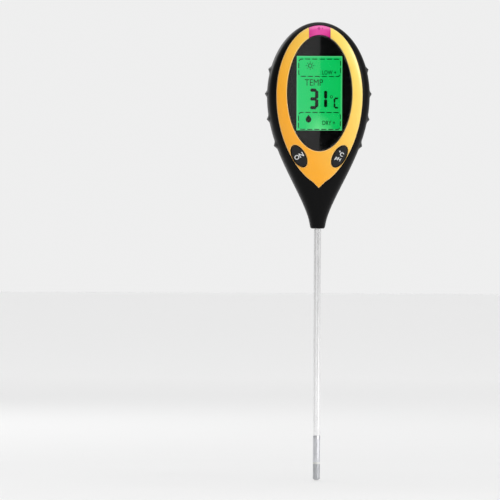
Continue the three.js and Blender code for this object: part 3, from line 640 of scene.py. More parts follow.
def opened(outline, edge_x):
    """An outline that starts and stops at X = edge_x on its crown, for t from 0 to 2."""
    start = crown_t(outline, edge_x)
    return lambda t: outline(start + t * (1 - start))


window_edge = window_half + bezel_gap


def bezel_outer(grow):
    return opened(bezel_outline(grow), window_edge)


def bezel_inner(grow):
    return opened(lens_outline(grow), window_edge)


def part_way(start, end, share):
    """An outline part of the way from one outline to another."""
    def outline(t):
        (x, z), (end_x, end_z) = start(t), end(t)
        return x + (end_x - x) * share, z + (end_z - z) * share
    return outline


lens_gap = 0.15 * mm
bezel_edge, bezel_lip = bezel_outer(-chamfer), bezel_inner(lens_gap + chamfer)
bezel_rings = [
    on_skin(bezel_outer(-0.02 * mm), FRONT, 0.1 * mm - recess_depth),
    on_skin(bezel_outer(0), FRONT, trim_proud - chamfer),
    *[on_skin(part_way(bezel_edge, bezel_lip, k / 9), FRONT, trim_proud) for k in range(10)],
    on_skin(bezel_inner(lens_gap), FRONT, trim_proud - chamfer),
    on_skin(bezel_inner(lens_gap), FRONT, 0.1 * mm - recess_depth),
    on_skin(bezel_outer(-0.02 * mm), FRONT, 0.1 * mm - recess_depth),
]
bezel_form = carved(ringed(bezel_rings), together([key_cutter(-1), key_cutter(1)]))

# Amber ABS with a semi-gloss: a faint orange-peel, colour that drifts a little, fine handling marks, and painted
# highlights toward the upper right and on the chamfers.
amber = Finish("amber_plastic", (0.92, 0.42, 0.012), 0.3, Coat_Weight=0.1, Coat_Roughness=0.12)
drift = amber.noise(9 * mm, 2)
# Painted highlight: the colour goes lighter and yellower toward the upper right, where the key lamp's broad
# reflection falls.
highlight_share = amber.between(amber.axis("X") + 0.5 * amber.axis("Z"), 16 * mm, 72 * mm)
right_highlight_colour = amber.blend(highlight_share, (1.0, 0.42, 0.004), (1.0, 0.8, 0.18))
drifting = amber.blend(drift * 0.2, right_highlight_colour, (0.95, 0.39, 0.006))
# Painted highlight: where the normal turns away from the front, on the chamfers, the colour is painted paler.
facing = abs(amber.node("SeparateXYZ", output="Y", Vector=amber.node("TexCoord", output="Normal")))
chamfered = 1 - amber.between(facing, 0.72, 0.88)
amber.feed(Base_Color=amber.blend(chamfered * 0.45, drifting, (1.0, 0.8, 0.45)))
scuffs = amber.between(amber.noise(0.35 * mm, 5, (1, 1, 0.15)), 0.6, 0.8)
amber.feed(Roughness=0.26 + 0.08 * amber.noise(6 * mm, 3) + 0.12 * scuffs)
amber.bump((amber.noise(1.6 * mm), 0.014 * mm), (amber.noise(0.2 * mm), 0.004 * mm))
fit_piece("bezel_ring", bezel_form, amber, stands_for=["bezel"], sharp_angle=28)

# ---------------------------------------------------------------- light window
# A pink translucent filter at the top of the bezel's ring, moulded in acrylic and glued in its gap.
# The photodiode that reads the light sits on the board behind it.

window_low = lens_outline(0.25 * mm)
window_high = bezel_outline(-0.05 * mm)


def window_ring(share, skin):
    """A line across the window, part way from its lower edge to its upper one."""
    def ring(t):
        x = (t - 1) * window_half
        low, high = [outline(crown_t(outline, abs(x)))[1] for outline in (window_low, window_high)]
        z = low + (high - low) * share
        return x, surface(x, z, FRONT, skin), z
    return ring


window_rings = [window_ring(0, -2.4 * mm), window_ring(0, trim_proud - 0.25 * mm)]
window_rings += [window_ring(0.03 + 0.94 * k / 8, trim_proud) for k in range(9)]
window_rings += [window_ring(1, trim_proud - 0.3 * mm), window_ring(1, 0.1 * mm - recess_depth)]
window_rings += [window_ring(0.3, -2.4 * mm), window_ring(0, -2.4 * mm)]
window_form = ringed(window_rings, stations=40)

pink = Finish("pink_filter", (0.6, 0.05, 0.27), 0.12, Coat_Weight=0.3, Coat_Roughness=0.04)
# The filter's colour is darker toward its sides.
side_share = pink.between(abs(pink.axis("X")), 0.3 * window_half, window_half)
# Painted highlight: the filter's colour is painted paler toward its top edge.
top_share = pink.between(pink.axis("Z"), window_low(0)[1], window_high(0)[1])
sides_darker_tint = pink.blend(side_share, (0.8, 0.075, 0.36), (0.66, 0.035, 0.25))
top_highlight_tint = pink.blend(top_share * 0.6, sides_darker_tint, (0.85, 0.13, 0.46))
sensor_low, sensor_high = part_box("light_sensor")
sensor_place = Vector(((sensor_low.x + sensor_high.x) / 2, (sensor_low.z + sensor_high.z) / 2))
mark_z = window_low(0)[1] + 0.68 * (window_high(0)[1] - window_low(0)[1])


def pink_mark(x, reach):
    """A darker diamond where a part behind the filter shows through it."""
    away = abs(pink.axis("X") - x) + abs(pink.axis("Z") - mark_z)
    return 1 - pink.between(away, 0.6 * reach, reach)


marks_behind = pink_mark(-0.45 * mm, 1.25 * mm).larger(pink_mark(1.55 * mm, 0.75 * mm) * 0.8)
pink.feed(Base_Color=pink.blend(marks_behind * 0.85, top_highlight_tint, (0.42, 0.02, 0.17)))
pink.feed(Roughness=0.1 + 0.08 * pink.noise(2 * mm, 3))
pink.bump((pink.noise(2.5 * mm), 0.01 * mm))
fit_piece("light_filter", window_form, pink, stands_for=["light_window"], sharp_angle=28)


def dress(finish, *nodes):
    for node in nodes:
        for material_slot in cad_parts[node].material_slots:
            material_slot.material = finish.material


def mottled(name, colour, roughness, spread, size, detail=2.0, grain=None, depth=0.0, **plain):
    """A finish whose roughness rises by spread in blotches of size, with a fine grain raised on it."""
    finish = Finish(name, colour, roughness, **plain)
    finish.feed(Roughness=roughness + spread * finish.noise(size, detail))
    if grain:
        finish.bump((finish.noise(grain), depth))
    return finish


clear_epoxy = mottled("clear_epoxy", (0.5, 0.5, 0.52), 0.06, 0.08, 1 * mm, Coat_Weight=0.5)
dome_radius = (sensor_high.x - sensor_low.x) / 2
dome_rings = [facing_back(*sensor_place, 0, sensor_high.y)]
dome_rings += [facing_back(*sensor_place, dome_radius, sensor_high.y - 0.2 * mm * k) for k in range(2)]
for k in range(9):
    turn = math.pi / 2 * k / 8
    dome_rings.append(facing_back(*sensor_place, dome_radius * math.cos(turn),
                                  sensor_low.y + dome_radius * (1 - math.sin(turn))))
fit_piece("photodiode", ringed(dome_rings, stations=32), clear_epoxy, stands_for=["light_sensor"])

# ---------------------------------------------------------------- lens and mask
# A flat clear acrylic lens lies in the recess, with its edge rounded. A black border is printed on
# a film behind it, and leaves a rectangle open over the display.

lens_back_y = lens_high.y
lens_face_y = lens_low.y


def lens_ring(inset, y):
    return on_plane(lens_outline(-inset), y)


lens_rings = [lambda t: (0, lens_face_y, lens_z)]
lens_rings += [lens_ring(inset * mm, lens_face_y + drop * mm)
               for inset, drop in [(6, 0), (0.7, 0), (0.6, 0), (0.5, 0), (0.28, 0.05), (0.15, 0.16), (0.1, 0.35)]]
lens_rings += [lens_ring(0.1 * mm, lens_back_y), lambda t: (0, lens_back_y, lens_z)]
acrylic = Finish("clear_acrylic", (1, 1, 1), 0.02, IOR=1.49, Transmission_Weight=1.0)
wiped = acrylic.between(acrylic.noise(8 * mm, 3, (1, 1, 0.3)), 0.55, 0.8)
acrylic.feed(Roughness=0.015 + 0.03 * wiped)
fit_piece("lens_plate", ringed(lens_rings), acrylic, stands_for=["display_lens"])

mask_low, mask_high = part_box("display_mask")
view = rectangle_outline(view_width / 2, view_low, view_high, 0.15 * mm, view_corners)
mask_rings = [on_plane(outline, y) for outline, y in [
    (lens_outline(-0.3 * mm), mask_low.y), (view, mask_low.y), (view, mask_high.y),
    (lens_outline(-0.3 * mm), mask_high.y), (lens_outline(-0.3 * mm), mask_low.y)]]
black_print = mottled("black_print", (0.003, 0.003, 0.0035), 0.4, 0.1, 0.4 * mm, grain=0.15 * mm, depth=0.003 * mm,
                      Specular_IOR_Level=0.06)
fit_piece("printed_border", ringed(mask_rings, stations=480), black_print, stands_for=["display_mask"])

# ---------------------------------------------------------------- display
# A glass cell with liquid crystal in it, lit from behind in green. It shows generic readings: light
# low, a temperature, and soil that is dry, each with its sign, and dashed frames round two of them.

panel_low, panel_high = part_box("lcd_panel")
def block(low, high, rounding=0.0):
    form = bmesh.new()
    bmesh.ops.create_cube(form, size=1)
    low, high = Vector(low) * mm, Vector(high) * mm
    bmesh.ops.scale(form, verts=form.verts, vec=high - low)
    bmesh.ops.translate(form, verts=form.verts, vec=(high + low) / 2)
    return softened(form, rounding * mm) if rounding else form


panel_form = block(panel_low / mm, panel_high / mm, 0.1)

lit_green = Finish("lit_green", (0.004, 0.04, 0.015), 0.25, Emission_Strength=0.95, Specular_IOR_Level=0.1)
from_left = lit_green.between(lit_green.axis("X"), -view_width / 2, view_width / 2)
height = lit_green.between(lit_green.axis("Z"), lens_z - view_height / 2, lens_z + view_height / 2)
spot = ((lit_green.axis("X") / (6 * mm)) ** 2 + ((height * view_height) / (7 * mm)) ** 2) ** 0.5
spot_light = 1 - lit_green.between(spot, 0.0, 1.4)
edge_x = lit_green.between(abs(lit_green.axis("X")), view_width / 2 - 1.0 * mm, view_width / 2)
edge_z = lit_green.between(abs(height - 0.5), 0.5 - 1.0 * mm / view_height, 0.5)
border = edge_x.larger(edge_z)
body_green = lit_green.blend(from_left, (0.012, 0.66, 0.17), (0.0, 0.56, 0.1))
spotted = lit_green.blend(spot_light * 0.6, body_green, (0.2, 0.95, 0.35))
lit_green.feed(Emission_Color=lit_green.blend(border * 0.35, spotted, (0.3, 0.85, 0.5)))
lit_green.feed(Roughness=0.2 + 0.1 * lit_green.noise(5 * mm))
fit_piece("lcd_cell", panel_form, lit_green, stands_for=["lcd_panel"])

ink_y = panel_low.y - 0.01 * mm
ink_thickness = 0.03 * mm
ink_forms = []


def printed(form, x, z, y=ink_y, turn=0.0):
    """A flat form drawn in X and Y, stood up facing the front at X, Y and Z, and given a thickness."""
    faces = list(form.faces)
    raised = bmesh.ops.extrude_face_region(form, geom=faces)
    tops = [item for item in raised["geom"] if isinstance(item, bmesh.types.BMVert)]
    bmesh.ops.translate(form, verts=tops, vec=(0, 0, ink_thickness))
    bmesh.ops.recalc_face_normals(form, faces=form.faces)
    bmesh.ops.rotate(form, verts=form.verts, matrix=Matrix.Rotation(turn, 3, "Z"))
    bmesh.ops.rotate(form, verts=form.verts, matrix=Matrix.Rotation(math.pi / 2, 3, "X"))
    bmesh.ops.translate(form, verts=form.verts, vec=(x, y, z))
    return form


def bar(length, thickness, pointed=True):
    """A flat bar along X, with pointed ends as a digit's segment has."""
    form = bmesh.new()
    bmesh.ops.create_circle(form, cap_ends=True, segments=6 if pointed else 4, radius=1)
    bmesh.ops.rotate(form, verts=form.verts, matrix=Matrix.Rotation(math.pi / (2 if pointed else 4), 3, "Z"))
    widest = max(vertex.co.y for vertex in form.verts)
    bmesh.ops.scale(form, verts=form.verts, vec=(thickness / 2 / widest, thickness / 2 / widest, 1))
    reach = max(vertex.co.x for vertex in form.verts)
    for vertex in form.verts:
        if abs(vertex.co.x) > reach * 0.01:
            vertex.co.x += math.copysign(length / 2 - reach, vertex.co.x)
    return form


SEGMENTS = {"a": (0, 1, 0), "b": (1, 0.5, 1), "c": (1, -0.5, 1), "d": (0, -1, 0),
            "e": (-1, -0.5, 1), "f": (-1, 0.5, 1), "g": (0, 0, 0)}


def digit(lit, x, z, width, height, thickness):
    across_reach, up_reach = (width - thickness) / 2, (height - thickness) / 2
    for name in lit:
        column, row, upright = SEGMENTS[name]
        length = (up_reach if upright else 2 * across_reach) - 0.2 * mm
        ink_forms.append(printed(bar(length, thickness), x + column * across_reach, z + row * up_reach,
                                 turn=math.pi / 2 * upright))


def lettering(words, height, x, z, y=ink_y, turn=0.0, weight=0.0, narrow=1.0):
    """Letters of the given height, centred on X and Z, as a thin form."""
    letters = bpy.data.curves.new("letters", "FONT")
    letters.body = words
    letters.align_x = "CENTER"
    letters.align_y = "CENTER"
    letters.offset = weight
    letters.resolution_u = 4
    holder = bpy.data.objects.new("letters", letters)
    scene.collection.objects.link(holder)
    flat = holder.evaluated_get(bpy.context.evaluated_depsgraph_get()).to_mesh()
    form = bmesh.new()
    form.from_mesh(flat)
    bpy.data.objects.remove(holder)
    bpy.data.curves.remove(letters)
    low = Vector([min(vertex.co[axis] for vertex in form.verts) for axis in range(3)])
    high = Vector([max(vertex.co[axis] for vertex in form.verts) for axis in range(3)])
    bmesh.ops.translate(form, verts=form.verts, vec=-(low + high) / 2)
    size = height / (high.y - low.y)
    bmesh.ops.scale(form, verts=form.verts, vec=(size * narrow, size, 1))
    return printed(form, x, z, y, turn)


def dashed_frame(left, right, low, high, dash=3.0 * mm, gap=1.05 * mm, thickness=0.5 * mm):
    """A frame with round corners, as thin strips with gaps between them."""
    half, middle = (right - left) / 2, (left + right) / 2
    outline, wide, narrow = [rectangle_outline(half + grow, low - grow, high + grow, 1.8 * mm + grow, (0.4, 0.6))
                             for grow in (0, thickness / 2, -thickness / 2)]

    def edge(line, y):
        def ring(t):
            x, z = line(t)
            return middle + x, y, z
        return ring
    section = [edge(wide, ink_y), edge(wide, ink_y - ink_thickness), edge(narrow, ink_y - ink_thickness),
               edge(narrow, ink_y), edge(wide, ink_y)]
    travelled, start, last = 0.0, 0.0, Vector(outline(0))
    steps = 4000
    for k in range(1, steps + 1):
        t = 2 * k / steps
        point = Vector(outline(t))
        travelled += (point - last).length
        last = point
        if travelled >= dash:
            ink_forms.append(ringed(section, stations=6, span=(start, t)))
            travelled, start = -gap, None
        elif travelled >= 0 and start is None:
            start = t


def hoop(radius, thickness, x, z):
    """A thin flat ring."""
    section = [(radius, 0), (radius, ink_thickness), (radius - thickness, ink_thickness), (radius - thickness, 0),
               (radius, 0)]
    ink_forms.append(ringed([facing_back(x, z, reach, ink_y - front) for reach, front in section], stations=24))


dashed_frame(-12 * mm, 12.2 * mm, 87.8 * mm, 97.8 * mm)
dashed_frame(-12 * mm, 12.2 * mm, 57.2 * mm, 67 * mm)
sun = (-5.4 * mm, 94.0 * mm)
hoop(1.25 * mm, 0.4 * mm, *sun)
for k in range(8):
    heading = math.pi / 4 * k
    reach = 2.05 * mm
    ink_forms.append(printed(bar(0.75 * mm, 0.36 * mm, False), sun[0] + reach * math.cos(heading),
                             sun[1] + reach * math.sin(heading), turn=heading))
ink_forms.append(lettering("LOW +", 2.5 * mm, 5.6 * mm, 90.1 * mm, weight=0.012, narrow=0.76))
ink_forms.append(lettering("TEMP", 3.6 * mm, -3.2 * mm, 84.3 * mm, narrow=0.84))
digit("abcdg", -3.5 * mm, 74.8 * mm, 5.8 * mm, 12.0 * mm, 1.9 * mm)
digit("bc", 1.65 * mm, 74.8 * mm, 5.8 * mm, 11.8 * mm, 1.85 * mm)
hoop(0.85 * mm, 0.35 * mm, 7.0 * mm, 76.0 * mm)
digit("adef", 9.9 * mm, 72.5 * mm, 3.3 * mm, 6.4 * mm, 1.0 * mm)


def drop_mark(x, z, width, height):
    form = bmesh.new()
    bmesh.ops.create_circle(form, cap_ends=True, segments=28, radius=1)
    for vertex in form.verts:
        lift = (vertex.co.y + 1) / 2
        vertex.co.x *= width / 2 * math.cos(math.pi / 2 * max(0, lift - 0.35) / 0.65) ** 0.9
        vertex.co.y = (lift - 0.5) * height
    return printed(form, x, z)


ink_forms.append(drop_mark(-6.2 * mm, 63.4 * mm, 3.4 * mm, 4.6 * mm))
ink_forms.append(lettering("DRY +", 2.5 * mm, 5.5 * mm, 61 * mm, weight=0.012, narrow=0.76))
dark_crystal = mottled("dark_crystal", (0.002, 0.008, 0.004), 0.45, 0.1, 1 * mm, Specular_IOR_Level=0.05)
fit_piece("lcd_marks", together(ink_forms), dark_crystal)

white_moulding = mottled("white_moulding", (0.72, 0.72, 0.69), 0.45, 0.15, 3 * mm, 3, 0.3 * mm, 0.01 * mm)
yellowed = white_moulding.noise(6 * mm)
white_moulding.feed(Base_Color=white_moulding.blend(yellowed, (0.74, 0.74, 0.7), (0.68, 0.67, 0.63)))
dress(white_moulding, "lcd_tray", "backlight_guide", "backlight_led", "power_switch_plunger",
      "mode_switch_plunger", "probe_collar")
zebra = Finish("layered_rubber", (0.2, 0.2, 0.2), 0.75)
stripes = (zebra.axis("X") * (2 * math.pi / (0.2 * mm))).sine()
zebra.feed(Base_Color=zebra.blend(zebra.between(stripes, -0.4, 0.4), (0.02, 0.02, 0.02), (0.45, 0.42, 0.38)))
dress(zebra, "lcd_contact_upper", "lcd_contact_lower")

# ---------------------------------------------------------------- keys
# Two oval keys of dark grey ABS, with white pad-printed legends. Each slides in its well over a tact
# switch on the board, and stands a little proud of the bezel.

key_grey = Finish("key_grey", (0.009, 0.009, 0.01), 0.5, Specular_IOR_Level=0.25)
key_grey.feed(Roughness=0.42 + 0.12 * key_grey.noise(2.5 * mm, 3))
patchy = key_grey.blend(key_grey.noise(4 * mm), (0.008, 0.008, 0.009), (0.012, 0.012, 0.013))
key_grey.feed(Base_Color=key_grey.blend(key_grey.edges() * 0.4, patchy, (0.05, 0.05, 0.05)))
key_grey.bump((key_grey.noise(0.16 * mm, 3), 0.01 * mm))
white_ink = Finish("white_ink", (0.8, 0.8, 0.8), 0.5)
white_ink.feed(Base_Color=white_ink.blend(white_ink.noise(0.3 * mm, 3), (0.85, 0.85, 0.85), (0.66, 0.66, 0.66)))
key_proud = 0.4 * mm
legends = {-1: [("ON", 2.7 * mm, 0.0)], 1: [("°C", 2.5 * mm, 1.75 * mm), ("pH", 2.7 * mm, -1.8 * mm)]}
bodies = {-1: "power_key", 1: "mode_key"}


def curved_onto_key(form, lift):
    """Letters cut fine enough to bend, and laid on the key's top."""
    bmesh.ops.triangulate(form, faces=form.faces)
    fronts = min(vertex.co.y for vertex in form.verts)
    for vertex in form.verts:
        raised = lift if vertex.co.y < fronts + 0.01 * mm else -0.1 * mm
        vertex.co.y = surface(vertex.co.x, vertex.co.z, FRONT, key_proud + raised)
    return form


for side, node in key_places.items():
    x, z = key_centre(side)
    foot_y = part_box(node)[1].y
    flange_y = foot_y - 1.0 * mm
    cap_rings = [lambda t: (x, foot_y, z), key_ring(side, 1.2 * mm, foot_y), key_ring(side, 1.2 * mm, flange_y),
                 key_ring(side, 0, flange_y)]
    cap_rings += [key_ring(side, -inset * mm, skin=key_proud - drop * mm)
                  for inset, drop in [(0, 0.45), (0.05, 0.22), (0.2, 0.06), (0.42, 0), (1.1, 0), (1.9, 0), (2.7, 0)]]
    cap_rings.append(lambda t: (x, surface(x, z, FRONT, key_proud), z))
    fit_piece(node.replace("button", "key_cap"), ringed(cap_rings, stations=80), key_grey, bodies[side],
              stands_for=[node])
    lean = -side * math.radians(30)
    marks = []
    for words, letter_height, offset in legends[side]:
        mark_x = x - offset * math.sin(lean)
        mark_z = z + offset * math.cos(lean)
        marks.append(curved_onto_key(lettering(words, letter_height, mark_x, mark_z, 0, lean, 0.02), 0.02 * mm))
    fit_piece(node.replace("button", "key_legend"), together(marks), white_ink, bodies[side])

# ---------------------------------------------------------------- probe
# A polished stainless tube carries the electrodes: a fine-blasted zinc sleeve, a pale insulating
# washer, and a dull rounded tip. It is clamped and sealed in the neck.

tube_low, tube_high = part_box("probe_tube")


def probe_ring(radius, z):
    return around(0, 0, radius, z)


def turned_tube(low, high, outer_radius, inner_radius, edge, count=1):
    """A tube about the probe's axis, with its outer edges rounded."""
    corners = [(outer_radius - edge, low), (outer_radius - 0.3 * edge, low + 0.3 * edge), (outer_radius, low + edge)]
    corners += [(outer_radius, low + edge + (high - low - 2 * edge) * k / count) for k in range(1, count)]
    corners += [(outer_radius, high - edge), (outer_radius - 0.3 * edge, high - 0.3 * edge),
                (outer_radius - edge, high), (inner_radius, high), (inner_radius, low), (outer_radius - edge, low)]
    return ringed([probe_ring(radius, z) for radius, z in corners], stations=72)


# Stainless, drawn and polished: faint lines along the tube, and finer ones round it.
stainless = Finish("polished_stainless", (0.9, 0.9, 0.91), 0.1, Metallic=0.75)
drawn = stainless.noise(0.12 * mm, 3, (1, 1, 0.01))
polish = stainless.noise(0.25 * mm, 3, (0.05, 0.05, 1))
smudge = stainless.between(stainless.noise(16 * mm, 3, (1, 1, 0.4)), 0.45, 0.75)
stainless.feed(Roughness=0.12 + 0.05 * drawn + 0.05 * smudge)
stainless.feed(Base_Color=stainless.blend(smudge * 0.3, (0.95, 0.95, 0.955), (0.86, 0.86, 0.86)))
stainless.bump((drawn, 0.0015 * mm), (polish, 0.001 * mm))
tube_form = turned_tube(tube_low.z, tube_high.z, probe_radius, probe_radius - 0.4 * mm, 0.06 * mm, 24)
fit_piece("probe_shaft", tube_form, stainless, stands_for=["probe_tube"])

blasted = Finish("blasted_zinc", (0.6, 0.61, 0.63), 0.42, Metallic=0.9)
pits = blasted.noise(0.12 * mm, 4)
blasted.feed(Roughness=0.38 + 0.16 * pits)
blasted.feed(Base_Color=blasted.blend(blasted.noise(2.5 * mm, 4), (0.82, 0.82, 0.85), (0.66, 0.67, 0.7)))
blasted.bump((pits, 0.012 * mm))
sleeve_low, sleeve_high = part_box("upper_electrode")
fit_piece("electrode_sleeve", turned_tube(sleeve_low.z, sleeve_high.z, probe_radius, 1.0 * mm, 0.08 * mm, 6), blasted,
          stands_for=["upper_electrode"])

pale = mottled("pale_insulator", (0.78, 0.78, 0.76), 0.45, 0.12, 0.5 * mm, grain=0.2 * mm, depth=0.006 * mm)
tip_low, tip_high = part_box("tip_electrode")
insulator_low, insulator_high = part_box("electrode_insulator")
washer_foot = tip_high.z + 0.05 * mm
washer_rings = [probe_ring(radius * mm, z) for radius, z in [
    (0.5, insulator_low.z), (0.92, insulator_low.z), (0.92, washer_foot), (1.98, washer_foot),
    (2.05, washer_foot + 0.06 * mm), (2.05, sleeve_low.z - 0.11 * mm), (1.98, sleeve_low.z - 0.05 * mm),
    (0.92, sleeve_low.z - 0.05 * mm), (0.92, insulator_high.z), (0.5, insulator_high.z), (0.5, insulator_low.z)]]
fit_piece("insulating_washer", ringed(washer_rings, stations=64), pale, stands_for=["electrode_insulator"])

dull_metal = Finish("dull_tip", (0.3, 0.31, 0.33), 0.45, Metallic=0.85)
wear = dull_metal.between(dull_metal.noise(0.9 * mm, 5, (1, 1, 0.3)), 0.35, 0.7)
dull_metal.feed(Base_Color=dull_metal.blend(wear, (0.5, 0.51, 0.53), (0.64, 0.65, 0.67)))
dull_metal.feed(Roughness=0.34 + 0.16 * wear)
dull_metal.bump((dull_metal.noise(0.15 * mm, 4), 0.01 * mm))
tip_round = 1.1 * mm
tip_rings = [probe_ring(0, tip_low.z)]
for k in range(11):
    turn = math.pi / 2 * k / 10
    tip_rings.append(probe_ring(probe_radius - tip_round * (1 - math.sin(turn)),
                                tip_low.z + tip_round * (1 - math.cos(turn))))
tip_rings += [probe_ring(probe_radius, tip_high.z - 0.08 * mm), probe_ring(probe_radius - 0.08 * mm, tip_high.z),
              probe_ring(1.0 * mm, tip_high.z), probe_ring(1.0 * mm, tip_low.z + 2.6 * mm),
              probe_ring(0, tip_low.z + 2.6 * mm)]
fit_piece("electrode_tip", ringed(tip_rings, stations=72), dull_metal, stands_for=["tip_electrode"])

seal_black = mottled("seal_rubber", (0.012, 0.012, 0.012), 0.6, 0.2, 0.5 * mm, grain=0.2 * mm, depth=0.008 * mm)
dress(seal_black, "probe_seal")

# ---------------------------------------------------------------- rear case
# The back half of the head, moulded in the same ABS. A deep tub for the battery opens to the back
# behind a door, with a ledge round its mouth, and five screws sit at the bottom of wells.

battery_low, battery_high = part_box("battery_body")
door_low, door_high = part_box("battery_door")
bay_half = 13.8 * mm
bay_foot, bay_top = 43.0 * mm, 98.8 * mm
bay_floor_y = battery_low.y - 0.2 * mm
bay_wall = 1.2 * mm
door_inner_y = 15.2 * mm
door_top = 99.4 * mm
pocket_grow = 0.3 * mm


def bay_outline(grow, radius=0.8 * mm):
    return rectangle_outline(bay_half + grow, bay_foot - grow, bay_top + grow, radius)


def door_outline(grow):
    radius = max(0.5 * mm, 2 * mm + grow)
    return rectangle_outline(door_high.x + grow, door_low.z - grow, door_top + grow, radius)


def under_skin(outline, y, depth):
    """A ring at y, or this depth under the skin where that is lower."""
    def ring(t):
        x, z = outline(t)
        return x, min(y, surface(x, z, BACK) - depth), z
    return ring


bay_middle = (bay_foot + bay_top) / 2
ledge_y = door_inner_y - 0.1 * mm
rear_rings = [lambda t: (0, bay_floor_y, bay_middle), on_plane(bay_outline(-4 * mm), bay_floor_y),
              on_plane(bay_outline(-0.3 * mm), bay_floor_y), on_plane(bay_outline(0), bay_floor_y + 0.3 * mm),
              under_skin(bay_outline(0), ledge_y, 1.2 * mm),
              under_skin(door_outline(pocket_grow), ledge_y, 1.2 * mm),
              on_skin(door_outline(pocket_grow), BACK, -0.25 * mm),
              on_skin(door_outline(pocket_grow + 0.07 * mm), BACK, -0.08 * mm)]
rear_skin = sheet_between(outer, door_outline(pocket_grow + 0.25 * mm), BACK, 0, 26)[::-1]
rear_rings += [nubbed(ring) for ring in rear_skin]
rear_rings += [nubbed(on_plane(outer, seam)), on_plane(inner, seam)]
rear_rings += sheet_between(inner, bay_outline(bay_wall), BACK, -wall, 12)
rear_rings += [on_plane(bay_outline(bay_wall), bay_floor_y - bay_wall),
               lambda t: (0, bay_floor_y - bay_wall, bay_middle)]


def rod_along_y(x, z, radius, low_y, high_y, stations=40):
    """A round bar along Y. Where high_y is None it ends just under the skin."""
    def top(reach):
        ring = facing_back(x, z, reach, 0)
        return lambda t: (ring(t)[0], surface(*ring(t)[::2], BACK, -0.9 * mm), ring(t)[2])
    upper = [top(reach) if high_y is None else facing_back(x, z, reach, high_y) for reach in (radius, 0)]
    return ringed([facing_back(x, z, 0, low_y), facing_back(x, z, radius, low_y), *upper], stations=stations)


screw_places = []
for k in range(1, 6):
    low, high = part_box(f"case_screw_{k}")
    screw_places.append(((low.x + high.x) / 2, (low.z + high.z) / 2))
head_seat_y = 6 * mm
towers = [rod_along_y(x, z, 3.7 * mm, seam, None) for x, z in screw_places]
rear_form = carved(ringed(rear_rings, stations=600), together(towers), "UNION")

thumb_notch = bmesh.new()
bmesh.ops.create_uvsphere(thumb_notch, u_segments=48, v_segments=32, radius=7 * mm)
bmesh.ops.translate(thumb_notch, verts=thumb_notch.verts, vec=(0, 22.4 * mm, 41.2 * mm))
wells = [rod_along_y(x, z, 2.85 * mm, head_seat_y, 25 * mm, 48) for x, z in screw_places]
shaft_holes = [rod_along_y(x, z, 1.7 * mm, -2 * mm, head_seat_y + 1 * mm, 32) for x, z in screw_places]
tab_slots = [block((side * 8 - 2.4, 10.8, 97.8), (side * 8 + 2.4, 15.2, 101)) for side in (-1, 1)]
latch_pocket = block((-5, 11.6, 41.9), (5, 15.25, 44))
lead_slot = block((-4, -2.2, 40.8), (4, 1, 44))
for tools in [wells, shaft_holes, [thumb_notch, *tab_slots, lead_slot, passage()], [latch_pocket]]:
    rear_form = carved(rear_form, together(tools))
fit_piece("rear_shell", rear_form, case_black, stands_for=["rear_case"])

# Bosses in the front half take the five case screws.
front_bosses = []
for x, z in screw_places:
    boss = [facing_back(x, z, radius * mm, y) for radius, y in
            [(1.5, -seam), (2.9, -seam), (2.9, -8 * mm), (1.5, -8 * mm), (1.5, -seam)]]
    front_bosses.append(ringed(boss, stations=32))
fit_piece("screw_bosses", together(front_bosses), case_black)

# ---------------------------------------------------------------- battery door
# A thin plate of the same ABS, flush with the back. Two tabs at its top tuck under the case, a
# tongue at its foot snaps under the rim, and grooves and an arrow show where the thumb pushes.

door_rings = [lambda t: (0, door_inner_y, bay_middle), on_plane(door_outline(-5 * mm), door_inner_y),
              under_skin(door_outline(0), door_inner_y, 1.0 * mm)]
door_rings += [on_skin(door_outline(-inset * mm), BACK, -drop * mm) for inset, drop in
               [(0, 0.4), (0.04, 0.2), (0.14, 0.07), *[(inset, 0.01) for inset in (0.35, 1.2, 3, 6, 8, 10, 12, 13)]]]
door_rings.append(lambda t: (0, surface(0, bay_middle, BACK), bay_middle))
door_parts = [block((-4.5, 12.2, 42.7), (4.5, 15.6, 43.8), 0.2)]
for side in (-1, 1):
    tab_x = (side * 8 - 2, side * 8 + 2)
    door_parts.append(block((tab_x[0], 13.1, 98.2), (tab_x[1], 14.3, 101.6), 0.2))
    door_parts.append(block((tab_x[0] + 0.05, 13.2, 98.25), (tab_x[1] - 0.05, 15.6, 99.25)))
door_form = carved(ringed(door_rings, stations=320), together(door_parts), "UNION")
grooves = [block((-7.5, 16.55, z - 0.4), (7.5, 20, z + 0.4), 0.15) for z in (47, 49, 51, 53, 55)]
arrow = bmesh.new()
bmesh.ops.create_cone(arrow, cap_ends=True, segments=3, radius1=2.6 * mm, radius2=2.6 * mm, depth=4 * mm)
facing_out = Matrix.Rotation(math.pi, 3, "Y") @ Matrix.Rotation(math.pi / 2, 3, "X")  # and pointing down
bmesh.ops.rotate(arrow, verts=arrow.verts, matrix=facing_out)
bmesh.ops.translate(arrow, verts=arrow.verts, vec=(0, 18.6 * mm, 59 * mm))
door_form = carved(door_form, together(grooves + [arrow]))
fit_piece("door_panel", door_form, case_black, "door", stands_for=["battery_door"])

# ---------------------------------------------------------------- screws
# Cross-head self-tapping screws in zinc-plated steel: five hold the case halves together from the
# back, and four hold the board.

zinc = Finish("zinc_plate", (0.62, 0.62, 0.6), 0.3, Metallic=1.0)
tarnish = zinc.between(zinc.noise(1.4 * mm, 4), 0.35, 0.75)
zinc.feed(Base_Color=zinc.blend(tarnish, (0.66, 0.66, 0.64), (0.42, 0.4, 0.36)))
zinc.feed(Roughness=0.22 + 0.2 * tarnish + 0.08 * zinc.noise(0.15 * mm))
zinc.bump((zinc.noise(0.1 * mm, 3), 0.006 * mm))
dress(zinc, "board_screw_1", "board_screw_2", "board_screw_3", "board_screw_4")


